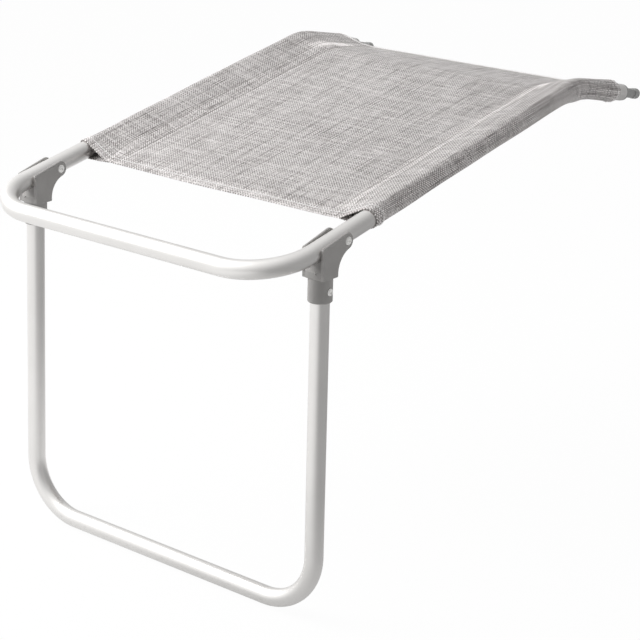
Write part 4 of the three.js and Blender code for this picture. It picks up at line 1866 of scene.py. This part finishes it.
    def sample(self, values: Array, row: Array, column: Array) -> Array:
        """Values of the grid between its rows and columns, by two straight interpolations.

        Args:
            values: Vectors on the grid, (rows, columns, 3).
            row: Row numbers with fractions.
            column: Column numbers with fractions.

        Returns:
            The vectors there, (n, 3).
        """
        r = np.clip(np.floor(row).astype(int), 0, values.shape[0] - 2)
        c = np.clip(np.floor(column).astype(int), 0, values.shape[1] - 2)
        fr, fc = (row - r)[:, None], (column - c)[:, None]
        low = values[r, c] * (1 - fc) + values[r, c + 1] * fc
        high = values[r + 1, c] * (1 - fc) + values[r + 1, c + 1] * fc
        return low * (1 - fr) + high * fr

    def stitches(self, row: Array, column: Array, face: float, radius: float) -> Patch:
        """Threads of a line of stitches, each an arch over the cloth that dips into it at both ends.

        Its rings are P = C + r (u cos a + v sin a), at the shares of its length, the heights and the radii
        that the THREAD tables give in thread radii.

        Args:
            row: Row numbers along the line.
            column: Column numbers along the line.
            face: 1 for the cloth's outer face and -1 for its inner one.
            radius: The thread's radius.

        Returns:
            The patch of all the threads.
        """
        out = face * unit(self.sample(self.normals, row, column))
        line = self.sample(self.grid, row, column) + out * self.thickness / 2.0
        walk = walked(line)
        count = int(walk[-1] / self.stitch_pitch)
        centre = (np.arange(count) + 0.5) * walk[-1] / count
        at = centre[:, None] + self.stitch_share * self.stitch_pitch * THREAD_SHARES
        spot, up = read_along(at, walk, line), unit(read_along(at, walk, out))
        beside = np.cross(unit(spot[:, -1] - spot[:, 0])[:, None, :], up)
        axis = spot + up * (radius * THREAD_HEIGHTS)[:, None]
        ring = np.linspace(0.0, FULL_TURN, THREAD_SIDES + 1)
        points = axis[:, :, None, :] + (radius * THREAD_RADII)[:, None, None] * spokes(ring, up, beside)
        number = np.arange(points.size // 3).reshape(points.shape[:3])
        uv = meshed(ring * radius, at[:, :, None])
        return Patch(points.reshape(-1, 3), quads(number), uv.reshape(-1, 2), np.zeros(number.size))

    def row_at(self, place: Array | float) -> Array:
        """The row numbers at distances along the rails, between the hems' folds.

        Args:
            place: Distances along the rails.

        Returns:
            Row numbers with fractions.
        """
        folded = self.fold_rows + self.strip_rows
        rows = np.arange(folded, len(self.along) - folded)
        return np.interp(place, self.along[rows], rows)

    def seam_lines(self, side: Side) -> list[Patch]:
        """The stitches of one side's two seams, on the top and beneath.

        Args:
            side: The side.

        Returns:
            A patch for each line of stitches.
        """
        middle = self.grid.shape[1] // 2
        ends = self.setback + self.seam_margin, self.end - self.seam_margin
        row = self.row_at(np.linspace(*ends, self.panel_samples))
        return [
            self.stitches(row, np.full_like(row, middle + side.value * number), 1.0, self.seam_stitch)
            for number in self.seam_columns()
        ]

    def hem_lines(self) -> list[Patch]:
        """The stitches of both hems, on the outer face all round and beneath the panel.

        Returns:
            A patch for each line of stitches.
        """
        middle, last, inner = self.grid.shape[1] // 2, len(self.along) - 1, self.hem_inner_row
        reach, band = self.marks["low_seam"] - 0.5, self.marks["band"] - 1.0
        around = middle + np.linspace(-reach, reach, self.hem_samples)
        under = middle + np.linspace(-band, band, self.panel_samples)
        lines = []
        for place, strip in ((self.setback + self.hem_line, inner), (self.end - self.hem_line, last - inner)):
            row = np.full_like(around, self.row_at(place))
            lines.append(self.stitches(row, around, 1.0, self.hem_stitch))
            lines.append(self.stitches(np.full_like(under, strip), under, -1.0, self.hem_stitch))
        return lines

    def build(self) -> list[Object]:
        """Makes the cloth and its stitching.

        Returns:
            The pieces.
        """
        mesh = sheet_mesh("sling_cloth", [self.shape()])
        cloth = piece(mesh, self.finishes.cloth, Body.FRAME)
        solid = cloth.modifiers.new("cloth_thickness", "SOLIDIFY")
        solid.thickness = self.thickness
        solid.offset = 0.0
        solid.use_rim = True
        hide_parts("sling_panel", "sleeve_left", "sleeve_right", "near_hem", "far_hem")
        threads = [
            piece(closed_mesh(name, patches, self.thread_crease), thread, Body.FRAME)
            for name, patches, thread in (
                ("seam_stitches_left", self.seam_lines(Side.LEFT), self.finishes.seam_thread),
                ("seam_stitches_right", self.seam_lines(Side.RIGHT), self.finishes.seam_thread),
                ("hem_stitches", self.hem_lines(), self.finishes.hem_thread),
            )
        ]
        log.info("sling cut flat: %.0f by %.0f mm", *(1000.0 * side for side in self.flat_size))
        return [cloth, *threads]


# ---------------------------------------------------------------- the studio


@dataclass(frozen=True)
class Camera:
    """The photograph's view. It looks along (sin y cos p, cos y cos p, -sin p), with yaw y and pitch p."""

    place: Triple = (1.43587, -2.17160, 0.62405)
    yaw: float = -0.669713
    pitch: float = 0.368058
    focal_pixels: float = 1902.238
    frame_pixels: float = 640.0
    sensor: float = 36.0
    clip: Pair = (0.05, 60.0)

    def build(self) -> None:
        """Makes the camera and gives it to the scene."""
        data = bpy.data.cameras.new("camera")
        data.sensor_width = self.sensor
        data.lens = self.focal_pixels * self.sensor / self.frame_pixels
        data.clip_start, data.clip_end = self.clip
        level = math.cos(self.pitch)
        way = Vector((math.sin(self.yaw) * level, math.cos(self.yaw) * level, -math.sin(self.pitch)))
        bpy.context.scene.camera = aimed("camera", data, self.place, way)


@dataclass(frozen=True)
class Studio:
    """Plain pale floor and soft light from the upper left, with a darker side on the right."""

    floor_height: float = -0.4975
    floor_half: float = 9.0
    floor_paint: float = 0.85
    floor_glow: float = 0.965
    light_way: Triple = (-0.65, -0.40, 0.65)
    shed_way: Triple = (-0.80, 0.10, 0.60)
    fill_way: Triple = (0.82, 0.57, -0.04)
    floor_way: Triple = (-0.85, -0.52, 0.0)
    floor_middle: Triple = (0.0, -0.65, 0.0)
    sky_low: float = 0.05
    sky_high: float = 0.9
    fill: float = 1.6
    mirrored_low: float = 0.37
    mirrored_high: float = 1.19
    mirrored_floor: float = 0.95
    shed_reach: Pair = (-0.2, 0.85)
    fill_reach: Pair = (0.65, 0.95)
    mirrored_reach: Pair = (-0.35, 1.0)
    mirrored_power: float = 1.4
    floor_reach: Pair = (-0.48, 0.32)
    lamp_place: Triple = (-1.25, -1.15, 1.05)
    lamp_target: Triple = (0.0, -0.4, -0.1)
    lamp_size: float = 1.1
    lamp_power: float = 35.0

    @staticmethod
    def rays(graph: Graph) -> tuple[Socket, Socket]:
        """Tells the rays apart.

        Args:
            graph: The tree that asks.

        Returns:
            1 on rays that the camera sees, mirrors left out, and 1 on rays that metal mirrors.
        """
        kinds = graph.add("LightPath").outputs
        seen = graph.math("MAXIMUM", kinds["Is Camera Ray"], kinds["Is Transmission Ray"])
        return seen, kinds["Is Glossy Ray"]

    def floor(self) -> None:
        """Makes the floor, which is white to the camera, glows in metal as a painted gradient brighter to the
        left, and keeps a faint shadow.
        """
        graph = Graph(bpy.data.materials.new("studio_floor"))
        seen, glossy = self.rays(graph)
        shown = graph.math("MAXIMUM", seen, glossy)
        moved = graph.add("VectorMath", {0: graph.place(), 1: self.floor_middle}, operation="SUBTRACT")
        lit = graph.along(moved.outputs[0], self.floor_way)
        # Painted glow for metal's reflections: brighter to the left of the floor's middle and dimmer to the
        # right.
        fade = graph.spread(lit, *self.floor_reach, self.mirrored_low, self.mirrored_floor)
        level = graph.between(seen, fade, 1.0)
        paint = graph.add("BsdfDiffuse", {"Color": (*[self.floor_paint] * 3, 1.0)})
        glow = graph.add("Emission", {"Color": WHITE, "Strength": level})
        share = graph.math("MULTIPLY", shown, self.floor_glow)
        mixed = graph.add("MixShader", {0: share, 1: paint.outputs[0], 2: glow.outputs[0]})
        graph.add("OutputMaterial", {0: mixed.outputs[0]})
        corners = self.floor_half * np.array([[-1.0, -1.0], [1.0, -1.0], [1.0, 1.0], [-1.0, 1.0]])
        points = np.column_stack([corners, np.full(4, self.floor_height)])
        mesh = sheet_mesh("studio_floor", [Patch(points, np.array([[0, 1, 2, 3]]), corners, np.zeros(4))])
        mesh.materials.append(graph.owner)
        linked("studio_floor", mesh)

    def sky(self) -> None:
        """Makes the world: bright to the upper left, dim to the right, and white to the camera."""
        world = bpy.data.worlds.new("studio_light")
        bpy.context.scene.world = world
        graph = Graph(world)
        way = graph.add("TexCoord").outputs["Generated"]
        lit, side, left = (graph.along(way, to) for to in (self.light_way, self.fill_way, self.shed_way))
        shed = graph.spread(left, *self.shed_reach, self.sky_low, self.sky_high)
        shed = graph.math("ADD", shed, graph.spread(side, *self.fill_reach, 0.0, self.fill))
        near = graph.math("POWER", graph.spread(lit, *self.mirrored_reach, 0.0, 1.0), self.mirrored_power)
        mirrored = graph.math("MULTIPLY_ADD", near, self.mirrored_high - self.mirrored_low, self.mirrored_low)
        seen, glossy = self.rays(graph)
        strength = graph.between(seen, graph.between(glossy, shed, mirrored), 1.0)
        glow = graph.add("Background", {0: WHITE, 1: strength})
        graph.add("OutputWorld", {0: glow.outputs[0]})

    def lamp(self) -> None:
        """Makes the soft lamp."""
        data = bpy.data.lights.new("soft_lamp", "AREA")
        data.shape = "SQUARE"
        data.size = self.lamp_size
        data.energy = self.lamp_power
        aimed("soft_lamp", data, self.lamp_place, Vector(self.lamp_target) - Vector(self.lamp_place))

    def build(self) -> None:
        """Makes floor, world and lamp, and sets how colours are shown."""
        self.floor()
        self.sky()
        self.lamp()
        bpy.context.scene.view_settings.view_transform = "Standard"


# ---------------------------------------------------------------- the whole leg rest


@dataclass
class LegRest:
    """The whole leg rest."""

    rails: Rails = field(default_factory=Rails)
    finishes: Finishes = field(default_factory=Finishes)

    def rivets(self, side: Side) -> list[TubularRivet]:
        """One side's two rivets.

        Args:
            side: The side.

        Returns:
            The pivot rivet, on the frame, and the socket rivet, on the leg.
        """
        rails, word = self.rails, side.word
        return [
            TubularRivet(
                rails, self.finishes, f"pivot_head_{word}", f"pivot_rivet_{word}",
                np.array([side.value * rails.x, rails.pivot_setback, 0.0]), Body.FRAME,
                seat=0.0148, shank_radius=0.003, head_radius=0.005, head_height=0.0022,
            ),
            TubularRivet(
                rails, self.finishes, f"socket_head_{word}", f"socket_rivet_{word}",
                np.array([side.value * rails.leg_x(rails.rivet_drop), 0.0, -rails.rivet_drop]), Body.LEG,
                seat=0.0137, shank_radius=0.0022, head_radius=0.0044, head_height=0.0018, eye_radius=0.0019,
            ),
        ]

    def build(self) -> list[Object]:
        """Makes every sub-assembly in order.

        Returns:
            All the pieces.
        """
        makers = [TubeFrame(self.rails, self.finishes), FoldingLeg(self.rails, self.finishes)]
        for side in Side:
            makers.append(HingeBracket(self.rails, self.finishes, side))
            makers.extend(self.rivets(side))
            makers.append(EndPlug(self.rails, self.finishes, side))
        makers.append(MeshSling(self.rails, self.finishes))
        return [made for maker in makers for made in maker.build()]


def main() -> None:
    """Builds the leg rest and its studio."""
    logging.basicConfig(level=logging.INFO, format="%(message)s")
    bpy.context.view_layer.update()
    Camera().build()
    pieces = LegRest().build()
    Studio().build()
    log.info("%d pieces stand for %d nodes", len(pieces), len(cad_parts))


if __name__ == "__main__":
    main()
